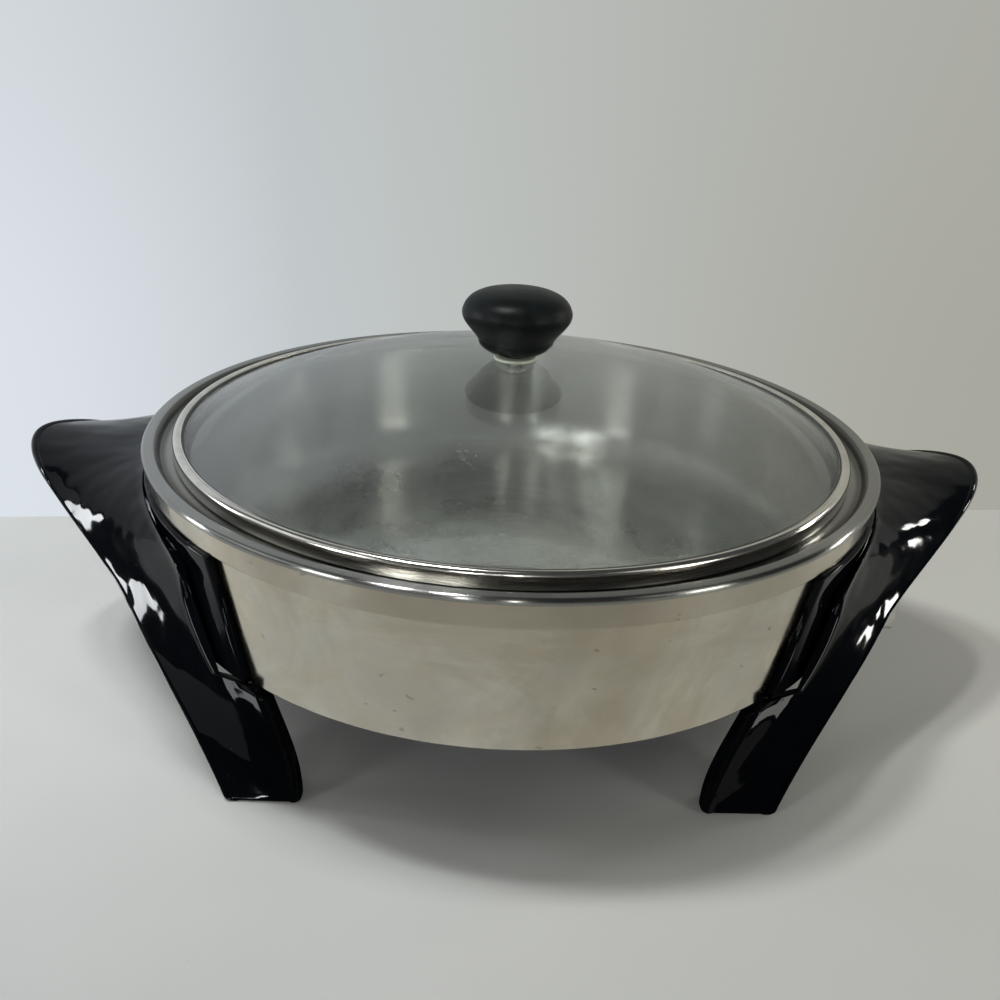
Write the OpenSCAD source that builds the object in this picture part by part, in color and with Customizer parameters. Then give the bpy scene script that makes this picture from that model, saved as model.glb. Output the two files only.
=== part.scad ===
// Electric skillet: a round double-walled stainless pan with a rolled rim, carried on two
// moulded handle-legs, heated from below, with a domed glass lid that lifts off.
// Millimetres, +Z up. The pan's axis is the Z axis, the feet stand on z = 0, and the
// handles lie along X, with the plug socket under the handle on the +X side.

/* [Pan] */
// Outer radius of the rolled rim
rim_r = 165; // [150:0.5:185]
// Height of the top of the rim above the table
rim_z = 136; // [120:0.5:160]
// Thickness of the rolled rim bead
bead_t = 3; // [2:0.1:4]
// Width of the flat top of the rim bead
bead_w = 5.8; // [4:0.1:8]
// Height of the upright band under the bead
band_h = 9.4; // [6:0.1:14]
// How far the band stands inside the rim bead
band_inset = 1.7; // [1:0.1:3]
// Step in from the band to the wall below it
band_step = 1.4; // [0.6:0.1:3]
// Height of the pan's bottom edge above the table
pan_base_z = 69.7; // [55:0.1:85]
// How much narrower the outer wall is at its foot than at the band
wall_taper = 4.9; // [0:0.1:12]
// Thickness of the outer shell's sheet
shell_t = 1; // [0.6:0.1:2]
// Thickness of the inner pan's sheet
pan_t = 1.2; // [0.8:0.1:2.4]
// Width from the rim's outer edge to the wall of the cooking space
rim_w = 15.4; // [14:0.1:30]
// Draft of the cooking space's wall, from ledge to floor
well_draft = 1.4; // [0:0.1:6]
// Radius of the corner between the inner wall and the floor
corner_r = 17; // [6:0.5:30]
// Drop from the top of the rim to the lid's ledge
ledge_drop = 5; // [3:0.1:8]
// Width of the flat ledge that carries the lid
ledge_w = 4.9; // [4.6:0.1:7]

/* [Heating] */
// Gap between the heat plate's edge and the base cover's wall
plate_gap = 4; // [2:0.5:30]
// Thickness of the heat plate
plate_t = 9; // [7:0.5:11]
// Distance from the heat plate's edge to the heating element's ring
element_in = 29; // [14:1:50]
// Outside diameter of the heating element's tube
element_d = 8; // [6:0.5:10]
// Radius of the base cover's bowl
cover_r = 121; // [119:1:130]
// Width of the base cover's flange
cover_flange = 6; // [4:0.5:12]
// Height of the underside of the base cover above the table
cover_z = 46; // [38:0.5:52]
// Thickness of the base cover's sheet
cover_t = 0.9; // [0.6:0.1:1.6]
// Number of screws that hold the base cover
cover_screw_count = 4; // [3:1:6]
// Distance of the cover screws from the pan's axis
cover_screw_r = 58; // [40:1:70]

/* [Socket] */
// Diameter of a terminal pin
pin_d = 4.8; // [4:0.1:6]
// Distance between the two terminal pins
pin_pitch = 21; // [18:0.5:26]
// Diameter of the pins where the block holds them
pin_shank_d = 3.8; // [3:0.1:4.4]
// How far the pins' free ends stand out from the base cover's wall
pin_out = 40; // [30:0.5:48]
// Outside diameter of the probe tube
probe_d = 8.6; // [7:0.1:10]
// Bore of the probe tube
probe_bore = 6.4; // [5:0.1:6.6]
// Inside width of the terminal guard
guard_w = 58; // [46:0.5:64]
// How far the open end of the guard stands out past the rim
guard_out = 26; // [14:0.5:30]
// Height of the underside of the guard above the table
guard_z = 43; // [36:0.5:45]
// Thickness of the guard's sheet
guard_t = 1.2; // [0.8:0.1:2]

/* [Handle-legs] */
// How far the grip's edge stands out past the rim
grip_out = 60; // [45:0.5:80]
// Drop from the top of the rim to the grip's outer edge
grip_tip_drop = 13; // [8:0.5:24]
// Drop from the top of the rim to the grip where it meets the pan
grip_root_drop = 13.6; // [13:0.1:24]
// How far each foot's inner corner stands in from the rim's radius
foot_inset = 23.6; // [14:0.1:34]
// Angle of each foot's inner corner round the pan, from the X axis
foot_angle = 53.05; // [48:0.05:58]
// Width of a foot
foot_w = 32; // [24:0.5:40]
// Wall thickness of the grip and legs
leg_wall = 4.5; // [3.5:0.1:6]
// Depth of the grip's outer lip
lip_depth = 6.5; // [6:0.1:10]
// Depth of the leg's side walls at the foot
leg_depth = 15; // [12:0.5:22]
// Depth of the hollow in the grip's upper face
dish = 1.6; // [0:0.1:4]
// Thickness of the saddle that hugs the pan's wall
saddle_t = 3; // [2.4:0.1:5]
// Half angle of the saddle around the pan
saddle_angle = 48; // [40:0.5:52]
// Width of the slot between saddle and leg
slot_w = 2.4; // [1.6:0.1:4]
// Diameter of a handle stud
stud_d = 5; // [4:0.1:6]
// Distance between the two studs of one handle
stud_pitch = 50; // [36:1:70]
// Drop from the top of the rim to the studs
stud_drop = 38; // [30:0.5:50]

/* [Lid] */
// Width of the ledge that the lid's steel ring covers
ring_seat = 2.9; // [1.5:0.1:4]
// Width of the lid's steel ring
ring_w = 6.6; // [5:0.1:9]
// Height of the lid's steel ring
ring_h = 7; // [5.5:0.1:10]
// Thickness of the lid's glass
glass_t = 4; // [3:0.1:6]
// Height of the dome above the ring
dome_h = 27; // [15:0.5:60]
// Height of the moulded step near the glass's edge
glass_step = 4.5; // [2:0.1:8]
// Distance from the ring's outer edge to the dome proper
dome_in = 14.5; // [12.5:0.1:30]

/* [Knob] */
// Largest radius of the knob
knob_r = 25; // [18:0.25:34]
// Height of the knob above the glass
knob_h = 32.5; // [24:0.5:45]
// Radius of the knob's neck
neck_r = 6.4; // [5:0.1:9]
// Diameter of the knob screw
screw_d = 5; // [4:0.1:6]

/* [Hidden] */
$fn = 96;

// Clearances: a seat between two pieces, and a running fit round a pin or stud
seat = 0.3;
fit = 0.25;

// Points on an arc of radius r about [x, y], from angle a to angle b
function arc(x, y, r, a, b, n = 8) = [for (i = [0:n]) let (t = a + (b - a) * i / n) [x + r * cos(t), y + r * sin(t)]];
function reversed(list) = [for (i = [len(list) - 1:-1:0]) list[i]];
function unit(v) = v / norm(v);
// Point on a cubic curve through p[0] and p[3], pulled towards p[1] and p[2]
function bezier(p, t) = pow(1 - t, 3) * p[0] + 3 * pow(1 - t, 2) * t * p[1] + 3 * (1 - t) * t * t * p[2] + pow(t, 3) * p[3];

// Pan heights and radii
ledge_z = rim_z - ledge_drop;
bead_in_r = rim_r - bead_w;
bead_low_z = rim_z - bead_t;
band_r = rim_r - band_inset;
band_low_z = bead_low_z - band_h;
wall_top_r = band_r - band_step;
wall_foot_r = band_r - band_step - wall_taper;
shell_floor_z = pan_base_z + shell_t;
floor_z = shell_floor_z + pan_t;
well_r = rim_r - rim_w;
well_foot_r = well_r - well_draft;
shell_hole_r = cover_r - 2;
function wall_at(z) = wall_foot_r + (wall_top_r - wall_foot_r) * (z - pan_base_z) / (band_low_z - pan_base_z);

// Upper surface of the inner pan, from the axis to the bead, and the same line moved by the
// sheet's thickness
function pan_line(d) = concat(
    [[0, floor_z - d]],
    arc(well_foot_r - corner_r, floor_z + corner_r, corner_r + d, -90, 0, 10),
    [[well_r + d, ledge_z - d - 2]],
    [[well_r + d, ledge_z - d]],
    [[well_r + ledge_w - d * 0.4, ledge_z - d]],
    [[bead_in_r - 1.4, ledge_z - d + 1.2]]
);

module inner_pan() {
    color("gainsboro")
    rotate_extrude($fn = 180)
    polygon(concat(
        pan_line(0),
        [[bead_in_r - 0.4, rim_z - 1.5], [bead_in_r + 0.7, rim_z - 0.3], [bead_in_r + 2, rim_z]],
        arc(rim_r - bead_t / 2, rim_z - bead_t / 2, bead_t / 2, 90, -90, 8),
        [[bead_in_r + 1.2, bead_low_z]],
        reversed(pan_line(pan_t))
    ));
}

module outer_shell() {
    color("silver")
    rotate_extrude($fn = 180)
    polygon([
        [band_r, bead_low_z], [band_r, band_low_z + 0.4], [band_r - 0.4, band_low_z],
        [wall_top_r, band_low_z], [wall_foot_r + 0.05, pan_base_z + 0.8], [wall_foot_r - 0.7, pan_base_z],
        [shell_hole_r, pan_base_z], [shell_hole_r, shell_floor_z],
        [wall_foot_r - shell_t - 0.3, shell_floor_z], [wall_top_r - shell_t, band_low_z + shell_t],
        [band_r - shell_t, band_low_z + shell_t], [band_r - shell_t, bead_low_z]
    ]);
}

// Heating: a plate under the floor, a tubular element and probe tube in its grooves
plate_r = cover_r - plate_gap;
element_r = plate_r - element_in;
pin_end_x = cover_r + pin_out;
plate_low_z = shell_floor_z - plate_t;
element_sink = 1.5;
element_z = plate_low_z - element_d / 2 + element_sink;
groove_gap = 2 * fit;
element_end_angle = asin(pin_pitch / 2 / element_r);
element_end_x = cover_r - 8;
probe_start_x = element_r + 6;
probe_end_x = pin_end_x - 11;

// Block that carries the pins through the cover's wall
block_in_x = element_end_x - 7;
block_out_x = cover_r + 7;
block_w = pin_pitch + 15;
block_h = element_d + 6;
block_gap = 0.6;

cover_boss_d = 11;
cover_screw_d = 4;
cover_inner_z = cover_z + cover_t;
screw_in = 10;
function cover_screw_angle(i) = 360 * (i + 0.5) / cover_screw_count;
module at_cover_screws() {
    for (i = [0:cover_screw_count - 1])
    rotate([0, 0, cover_screw_angle(i)]) translate([cover_screw_r, 0, 0]) children();
}

module heat_plate() {
    color("darkgray")
    difference() {
        union() {
            rotate_extrude($fn = 144)
            polygon([
                [0, plate_low_z], [plate_r - 2, plate_low_z], [plate_r, plate_low_z + 2],
                [plate_r, shell_floor_z - 1], [plate_r - 1, shell_floor_z], [0, shell_floor_z]
            ]);
            at_cover_screws()
            translate([0, 0, cover_inner_z]) cylinder(d = cover_boss_d, h = plate_low_z - cover_inner_z + 1, $fn = 48);
        }
        rotate_extrude($fn = 144)
        translate([element_r, element_z]) circle(d = element_d + groove_gap, $fn = 32);
        // pocket for the element's ends and the probe tube, deeper round the terminal block
        translate([element_r - element_d, -block_w / 2 - block_gap, plate_low_z - 5])
        cube([plate_r, block_w + 2 * block_gap, element_z + probe_d / 2 + fit - plate_low_z + 5]);
        translate([block_in_x - block_gap, -block_w / 2 - block_gap, plate_low_z - 5])
        cube([plate_r, block_w + 2 * block_gap, element_z + block_h / 2 + block_gap - plate_low_z + 5]);
        at_cover_screws()
        translate([0, 0, cover_inner_z - 1]) cylinder(d = cover_screw_d, h = screw_in + 3, $fn = 32);
    }
}

module heating_element() {
    color("dimgray")
    union() {
        rotate([0, 0, element_end_angle])
        rotate_extrude(angle = 360 - 2 * element_end_angle, $fn = 144)
        translate([element_r, element_z]) circle(d = element_d, $fn = 32);
        for (side = [-1, 1])
        translate([element_r * cos(element_end_angle) - 1, side * pin_pitch / 2, element_z])
        rotate([0, 90, 0])
        cylinder(d = element_d, h = element_end_x - element_r * cos(element_end_angle) + 1, $fn = 32);
    }
}

// Straps that hold the element up in its groove
clamp_count = 4;
clamp_len = 12;
clamp_t = 1.2;
clamp_tab = 7;
clamp_in_r = element_d / 2 + fit;
module element_clamps() {
    color("silver")
    for (i = [0:clamp_count - 1])
    rotate([0, 0, 360 * (i + 0.5) / clamp_count + 22]) translate([element_r, 0, element_z])
    difference() {
        union() {
            rotate([90, 0, 0]) cylinder(r = clamp_in_r + clamp_t, h = clamp_len, center = true, $fn = 48);
            translate([0, 0, plate_low_z - element_z - clamp_t / 2])
            cube([2 * (clamp_in_r + clamp_tab), clamp_len, clamp_t], center = true);
        }
        rotate([90, 0, 0]) cylinder(r = clamp_in_r, h = clamp_len + 2, center = true, $fn = 48);
        translate([0, 0, plate_low_z - element_z + plate_t]) cube([plate_r, plate_r, 2 * plate_t], center = true);
    }
}

module base_cover() {
    color("lightgray")
    difference() {
        rotate_extrude($fn = 144)
        polygon(concat(
            [[0, cover_inner_z]],
            arc(cover_r - 6, cover_inner_z + 6 - cover_t, 6 - cover_t, -90, 0, 6),
            [[cover_r - cover_t, pan_base_z], [cover_r + cover_flange, pan_base_z]],
            [[cover_r + cover_flange, pan_base_z - cover_t], [cover_r, pan_base_z - cover_t]],
            arc(cover_r - 6, cover_z + 6, 6, 0, -90, 8),
            [[0, cover_z]]
        ));
        // window for the terminal block, rivet holes and screw holes
        translate([block_in_x, -block_w / 2 - block_gap, element_z - block_h / 2 - block_gap])
        cube([cover_r, block_w + 2 * block_gap, block_h + 2 * block_gap]);
        at_guard_rivets() cylinder(d = rivet_d + 2 * fit, h = 8 * guard_t, center = true, $fn = 32);
        at_cover_screws()
        translate([0, 0, cover_z - 1]) cylinder(d = cover_screw_d + 2 * fit, h = 4, $fn = 32);
    }
}

module cover_screws() {
    color("silver")
    at_cover_screws() {
        rotate_extrude($fn = 32)
        polygon(concat([[0, cover_z - 2.4]], arc(3.2, cover_z - 1.6, 0.8, -90, 0, 4), [[4, cover_z]],
            [[cover_screw_d / 2, cover_z], [cover_screw_d / 2, cover_inner_z + screw_in], [0, cover_inner_z + screw_in]]));
    }
}

module terminal_block() {
    color("ivory")
    difference() {
        translate([block_in_x, -block_w / 2, element_z - block_h / 2])
        cube([block_out_x - block_in_x, block_w, block_h]);
        for (side = [-1, 1])
        translate([block_in_x - 1, side * pin_pitch / 2, element_z]) rotate([0, 90, 0]) {
            cylinder(d = element_d + 2 * fit, h = element_end_x - block_in_x + 1, $fn = 32);
            cylinder(d = pin_shank_d + 2 * fit, h = cover_r, $fn = 32);
        }
        translate([block_in_x - 1, 0, element_z]) rotate([0, 90, 0])
        cylinder(d = probe_d + 2 * fit, h = cover_r, $fn = 32);
    }
}

// Round-ended pin with a thinner shank, from the element's end out through the block
module terminal_pin(side) {
    color("lightgray")
    translate([element_end_x, side * pin_pitch / 2, element_z]) rotate([0, 90, 0])
    rotate_extrude($fn = 32)
    polygon(concat([[0, 0], [pin_shank_d / 2, 0]],
        [[pin_shank_d / 2, block_out_x + seat - element_end_x], [pin_d / 2, block_out_x + seat - element_end_x]],
        arc(pin_d / 2 - 1.4, pin_end_x - element_end_x - 1.4, 1.4, 0, 90, 6),
        [[0, pin_end_x - element_end_x]]));
}
module terminal_pin_front() { terminal_pin(-1); }
module terminal_pin_rear() { terminal_pin(1); }

// Closed tube that the heat control's probe slides into
module probe_tube() {
    color("burlywood")
    translate([probe_start_x, 0, element_z]) rotate([0, 90, 0])
    difference() {
        cylinder(d = probe_d, h = probe_end_x - probe_start_x, $fn = 32);
        translate([0, 0, 3]) cylinder(d = probe_bore, h = probe_end_x, $fn = 32);
    }
}

// Channel of bent sheet round the pins, open at its outer end and on top
rivet_d = 3.2;
rivet_head_r = 0.9 * rivet_d;
rivet_head_t = 0.38 * rivet_d;
rivet_gap = 0.08;
guard_half = guard_w / 2 + guard_t;
guard_top_z = pan_base_z - cover_t - seat;
guard_end_x = rim_r + guard_out;
tab_start = asin(guard_w / 2 / cover_r);
tab_sweep = 8;
tab_low_z = cover_z + 8;
rivet_z = (tab_low_z + guard_top_z - 2) / 2;
module at_guard_rivets() {
    for (side = [-1, 1])
    rotate([0, 0, side * (tab_start + tab_sweep * 0.62)]) translate([cover_r, 0, rivet_z]) rotate([0, 90, 0]) children();
}
module terminal_guard() {
    bend = 4;
    color("lightsteelblue")
    difference() {
        union() {
            difference() {
                translate([cover_r - 20, 0, 0]) rotate([90, 0, 90])
                linear_extrude(height = guard_end_x - cover_r + 20)
                polygon(concat(
                    [[-guard_half, guard_top_z]],
                    arc(-guard_half + bend, guard_z + bend, bend, 180, 270, 6),
                    arc(guard_half - bend, guard_z + bend, bend, 270, 360, 6),
                    [[guard_half, guard_top_z], [guard_half - guard_t, guard_top_z]],
                    arc(guard_half - bend, guard_z + bend, bend - guard_t, 360, 270, 6),
                    arc(-guard_half + bend, guard_z + bend, bend - guard_t, 270, 180, 6),
                    [[-guard_half + guard_t, guard_top_z]]
                ));
                translate([0, 0, guard_z - 1]) cylinder(r = cover_r + seat, h = rim_z, $fn = 144);
            }
            for (side = [-1, 1])
            rotate([0, 0, side > 0 ? tab_start : -tab_start - tab_sweep])
            rotate_extrude(angle = tab_sweep, $fn = 144)
            translate([cover_r + seat, tab_low_z]) square([guard_t, guard_top_z - 2 - tab_low_z]);
        }
        at_guard_rivets() cylinder(d = rivet_d + 2 * fit, h = 8 * guard_t, center = true, $fn = 32);
    }
}

module guard_rivets() {
    color("silver")
    at_guard_rivets()
    rotate_extrude($fn = 32)
    polygon(concat(
        [[0, -cover_t - rivet_gap - rivet_head_t], [rivet_head_r, -cover_t - rivet_gap - rivet_head_t]],
        [[rivet_head_r, -cover_t - rivet_gap], [rivet_d / 2, -cover_t - rivet_gap], [rivet_d / 2, seat + guard_t]],
        arc(rivet_head_r - rivet_head_t, seat + guard_t, rivet_head_t, 0, 90, 4), [[0, seat + guard_t + rivet_head_t]]
    ));
}

// Handle-legs. One shell is swept from the front foot over the grip to the rear foot, between
// an inner edge that follows the pan and an outer edge that runs out to the grip's tip.
// Both edges are given for the front half of the right-hand handle, where y is negative.
touch = 0.15;
grip_tip_x = rim_r + grip_out;
grip_tip_z = rim_z - grip_tip_drop;
grip_root_z = rim_z - grip_root_drop;
foot_in_x = (rim_r - foot_inset) * cos(foot_angle);
foot_y = (rim_r - foot_inset) * sin(foot_angle);
stud_z = rim_z - stud_drop;
saddle_low_z = pan_base_z + 1.6;
saddle_top_z = band_low_z - seat;
saddle_out = seat + saddle_t;
root_r = wall_at(grip_root_z) + saddle_out + touch;
knee_z = grip_root_z * 0.64;
knee_in = 65;
knee_rise = 32;
shoulder_z = grip_root_z - 18;
shoulder_r = wall_at(shoulder_z) + saddle_out + slot_w + 3;
shoulder_angle = saddle_angle - 4;
foot_out = [foot_in_x + foot_w, -foot_y, 0];
knee_out = [grip_tip_x - knee_in, -foot_y + knee_rise, knee_z];
knee_pull = [15.5, 18.5, 16];
foot_in = [foot_in_x, -foot_y, 0];
shoulder_in = [shoulder_r * cos(shoulder_angle), -shoulder_r * sin(shoulder_angle), shoulder_z];
outer_leg = [foot_out, foot_out + (knee_out - foot_out) / 3 + [2, 6, 0], knee_out - knee_pull, knee_out];
outer_grip = [knee_out, knee_out + knee_pull, [grip_tip_x, -33, grip_tip_z], [grip_tip_x, 0, grip_tip_z]];
inner_leg = [foot_in, foot_in + [9.5, 0, 0.27 * shoulder_z], shoulder_in - [8.5, 9.5, 0.33 * shoulder_z], shoulder_in];
// angle round the pan, height and radius of the grip's inner edge
inner_grip = [
    [-shoulder_angle, shoulder_z, shoulder_r], [-shoulder_angle + 0.5, shoulder_z + 13, shoulder_r],
    [-shoulder_angle + 5, grip_root_z, root_r], [0, grip_root_z, root_r]
];

function outer_edge(s) = s <= 1 ? bezier(outer_leg, s) : bezier(outer_grip, s - 1);
function on_pan(p) = [p[2] * cos(p[0]), p[2] * sin(p[0]), p[1]];
function inner_edge(s) = s <= 1 ? bezier(inner_leg, s) : on_pan(bezier(inner_grip, 1 - pow(2 - s, 1.6)));
function middle(s) = (inner_edge(s) + outer_edge(s)) / 2;
function course(s) = middle(min(s + 0.01, 2)) - middle(max(s - 0.01, 0));
// The path is upright at the foot, so that the foot stands flat
function along(s) = let (v = course(s), k = ramp(s, 0, 0.25)) s > 1.98 ? [0, 1, 0] : unit([v[0] * k, v[1] * k, v[2]]);
function across(s) = unit(outer_edge(s) - inner_edge(s));
function facing(s) = unit(cross(across(s), along(s)));
function ramp(s, a, b) = let (t = min(max((s - a) / (b - a), 0), 1)) t * t * (3 - 2 * t);

// Place on the path where the inner edge of the leg reaches height z
function place_at(z, a = 0, b = 1, n = 16) =
    let (m = (a + b) / 2) n == 0 ? m : inner_edge(m)[2] < z ? place_at(z, m, b, n - 1) : place_at(z, a, m, n - 1);
// Below the fork the leg reaches further in, curls round the pan and carries the saddle's end
fork_s = place_at(saddle_low_z - touch);
curl = 0.35;
function toe(s) = s > fork_s ? 0 : 22 * s + 2 * s * s;

// Path parameter: 0 at the foot, 1 at the knee, 2 at the middle of the grip
leg_steps = 12;
grip_steps = 16;
foot_round_s = 0.03;
path = concat(
    [0, 0.004, 0.012, foot_round_s, 0.045, 0.0455], [for (i = [1:7]) i / leg_steps],
    [place_at(pan_base_z - 4), place_at(pan_base_z - 0.9), place_at(pan_base_z - 0.5), fork_s, fork_s + 0.002, fork_s + 0.03],
    [for (i = [9:leg_steps]) i / leg_steps + (i == 9 ? 0.01 : 0)], [for (i = [1:grip_steps]) 1 + i / grip_steps]
);

// Section of the shell at one place on the path: [distance from the inner edge, depth]
edge_round = 2.4;
foot_round = 3;
function section(s) =
    let (
        w = norm(outer_edge(s) - inner_edge(s)),
        hollow = dish * ramp(s, 0.5, 1.6),
        plate = s < 0.0452 ? leg_depth - 1.6 : leg_wall,
        lip = leg_depth + (lip_depth - leg_depth) * ramp(s, 0.25, 1.1),
        wall = leg_wall + 1.2,
        back = max(plate + 0.5, lip),
        tuck = s < foot_round_s ? foot_round * (1 - sqrt(1 - pow(1 - s / foot_round_s, 2))) : 0,
        start = tuck - toe(s),
        end = w - tuck,
        round_in = edge_round * (1 - ramp(s, 1, 1.2)) + 0.4
    )
    concat(
        [[start, wall], [start, round_in + tuck], [start + round_in * 0.3, round_in * 0.3 + tuck], [start + round_in, tuck]],
        [for (k = [1:7]) let (u = start + round_in + (end - edge_round - start - round_in) * k / 8)
            [u, tuck + hollow * max(0, 1 - pow(2 * u / w - 1, 2))]],
        [[end - edge_round, tuck], [end - edge_round * 0.45, 0.35 + tuck], [end - 0.2, 1.3 + tuck], [end, edge_round + 0.4 + tuck]],
        [[end, back - 1], [end - 1, back], [end - leg_wall + 0.8, back], [end - leg_wall, back - 0.8]],
        [[end - leg_wall - 0.2, plate + 0.4], [end - leg_wall - 1.2, plate], [start + leg_wall + 1.2, plate + hollow * 0.3]],
        [[start + leg_wall + 0.2, plate + hollow * 0.3 + 0.3], [start + leg_wall, plate + hollow * 0.3 + 0.5]]
    );
// The toe keeps level with the inner edge, and nothing comes nearer to the pan than its clearance
function level(v) = [v[0], v[1], 0];
function spot(s, q) =
    q[0] < 0 ? inner_edge(s) + level(across(s)) * q[0] - level(facing(s)) * (q[1] - curl * q[0])
        : inner_edge(s) + across(s) * q[0] - facing(s) * q[1];
function nearest(s, z, q) =
    s > fork_s ? wall_at(z) + saddle_out + touch + slot_w * (1 - ramp(s, 1, 1.25))
        : z > saddle_low_z - touch ? wall_at(z) + saddle_out + touch
        : q[1] < leg_wall - 1 ? (z < pan_base_z - 16 ? 0 : wall_foot_r + saddle_out - 12 * (1 - ramp(z, pan_base_z - 16, pan_base_z + 1)))
        : z > pan_base_z - 0.7 ? wall_at(z) + seat : 0;
function place(s, q) = let (p = spot(s, q), d = norm([p[0], p[1]]), r = max(d, nearest(s, p[2], q))) [p[0] * r / d, p[1] * r / d, p[2]];
function front_ring(s) = [for (q = section(s)) place(s, q)];
function rear_ring(s) = [for (q = front_ring(s)) [q[0], -q[1], q[2]]];

module leg_shell() {
    fronts = [for (s = path) front_ring(s)];
    rears = [for (i = [len(path) - 2:-1:0]) rear_ring(path[i])];
    rings = concat(fronts, rears);
    n = len(rings[0]);
    m = len(rings);
    polyhedron(
        points = [for (ring = rings, q = ring) q],
        faces = concat(
            [[for (k = [0:n - 1]) k]],
            [for (j = [0:m - 2], k = [0:n - 1]) let (a = j * n + k, b = j * n + (k + 1) % n) each [[a, b + n, b], [a, a + n, b + n]]],
            [[for (k = [n - 1:-1:0]) (m - 1) * n + k]]
        ),
        convexity = 10
    );
}

// Saddle that hugs the pan's wall, with its ends cut on a slant
saddle_slant = 3.5;
module saddle_ends() {
    rise = saddle_top_z - saddle_low_z;
    for (side = [0, 1]) mirror([0, side, 0])
    rotate([0, 0, -saddle_angle]) translate([0, 0, saddle_top_z + 1])
    rotate([-atan(wall_top_r * saddle_slant * PI / 180 / rise), 0, 0])
    translate([0, -rise, -2 * rise]) cube([2 * rim_r, rise, 3 * rise]);
}

boss_d = 15;
boss_rise = 1.2;
stud_seat_x = wall_at(stud_z) + saddle_out + boss_rise;
stud_wall_x = sqrt(pow(wall_at(stud_z), 2) - pow(stud_pitch / 2, 2));
module at_studs() {
    for (side = [-1, 1]) translate([0, side * stud_pitch / 2, stud_z]) rotate([0, 90, 0]) children();
}

module handle_leg() {
    color([0.07, 0.07, 0.08]) leg_shell();
}
module handle_leg_right() { handle_leg(); }
module handle_leg_left() { mirror([1, 0, 0]) handle_leg(); }

module handle_saddle() {
    sweep = 2 * (saddle_angle + saddle_slant);
    color([0.07, 0.07, 0.08])
    difference() {
        union() {
            rotate([0, 0, -sweep / 2])
            rotate_extrude(angle = sweep, $fn = 180)
            polygon([
                [wall_at(saddle_low_z) + seat, saddle_low_z], [wall_at(saddle_top_z) + seat, saddle_top_z],
                [wall_at(saddle_top_z) + saddle_out, saddle_top_z], [wall_at(saddle_low_z) + saddle_out, saddle_low_z]
            ]);
            at_studs() translate([0, 0, stud_wall_x]) cylinder(d = boss_d, h = stud_seat_x - stud_wall_x, $fn = 48);
        }
        rotate_extrude($fn = 180)
        polygon([
            [0, pan_base_z], [wall_foot_r + seat, pan_base_z], [wall_top_r + seat, band_low_z], [0, band_low_z]
        ]);
        saddle_ends();
        at_studs() translate([0, 0, wall_foot_r / 2]) cylinder(d = stud_d + 2 * fit, h = wall_foot_r, $fn = 32);
    }
}
module handle_saddle_right() { handle_saddle(); }
module handle_saddle_left() { mirror([1, 0, 0]) handle_saddle(); }

// Studs welded to the shell's wall, and the domed nuts that hold the handles on them
nut_t = 6;
nut_across = 8.8;
stud_end_x = stud_seat_x + nut_t - 1.5;
module handle_studs() {
    color("silver")
    difference() {
        at_studs() translate([0, 0, stud_wall_x - 6]) cylinder(d = stud_d, h = stud_end_x - stud_wall_x + 6, $fn = 32);
        rotate_extrude($fn = 180)
        polygon([[0, pan_base_z], [wall_foot_r, pan_base_z], [wall_top_r, band_low_z], [0, band_low_z]]);
    }
}
module handle_studs_right() { handle_studs(); }
module handle_studs_left() { mirror([1, 0, 0]) handle_studs(); }

module handle_nuts() {
    color("gainsboro")
    at_studs() translate([0, 0, stud_seat_x])
    difference() {
        union() {
            cylinder(d = nut_across + 4, h = 1, $fn = 48);
            cylinder(d = nut_across / cos(30), h = nut_t - 1, $fn = 6);
            cylinder(d = nut_across - 0.8, h = nut_t, $fn = 48);
        }
        translate([0, 0, -1]) cylinder(d = stud_d + 0.1, h = nut_t - 0.4, $fn = 32);
    }
}
module handle_nuts_right() { handle_nuts(); }
module handle_nuts_left() { mirror([1, 0, 0]) handle_nuts(); }

// Lid: a steel ring that stands on the pan's ledge and a domed glass held in it by a gasket
ring_r = well_r + ring_seat;
dome_r = ring_r - dome_in;
ring_low_z = ledge_z + seat;
ring_top_z = ring_low_z + ring_h;
ring_t = 0.8;
ring_in_r = ring_r - ring_w;
skirt_r = well_r - 1.2;
skirt_drop = 3.5;
gasket_t = 0.9;
glass_rim_r = ring_r - ring_t - gasket_t - 0.2;
glass_low_z = ring_top_z - ring_t - gasket_t - glass_t;
glass_shoulder_r = ring_in_r - 1.6;
glass_shoulder_z = ring_top_z - ring_t - gasket_t;
dome_top_z = ring_top_z + dome_h;
dome_foot_z = glass_shoulder_z + glass_step + 1.4;
dome_sag = dome_top_z - dome_foot_z;
dome_curve_r = (dome_r * dome_r + dome_sag * dome_sag) / 2 / dome_sag;
dome_angle = asin(dome_r / dome_curve_r);
hole_r = screw_d / 2 + 1.5;
function dome_z(r) = dome_top_z - dome_curve_r + sqrt(dome_curve_r * dome_curve_r - r * r);
// Glass line from the hole in the middle to the shoulder, at depth d under the upper face
function glass_line(d) = concat(
    arc(0, dome_top_z - dome_curve_r, dome_curve_r - d, 90 - asin(hole_r / (dome_curve_r - d)), 90 - dome_angle, 16),
    [[dome_r + 2.2 - d * 0.1, dome_foot_z - 1 - d], [dome_r + 4 - d * 0.35, dome_foot_z - 3 - d * 0.8]],
    [[glass_shoulder_r - 0.6 - d * 0.1, glass_shoulder_z + 0.7 - d], [glass_shoulder_r + 1, glass_shoulder_z - d]],
    [[glass_rim_r, glass_shoulder_z - d]]
);
module lid_glass() {
    color([0.8, 0.88, 0.86, 0.45])
    rotate_extrude($fn = 180) polygon(concat(glass_line(0), reversed(glass_line(glass_t))));
}

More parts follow.
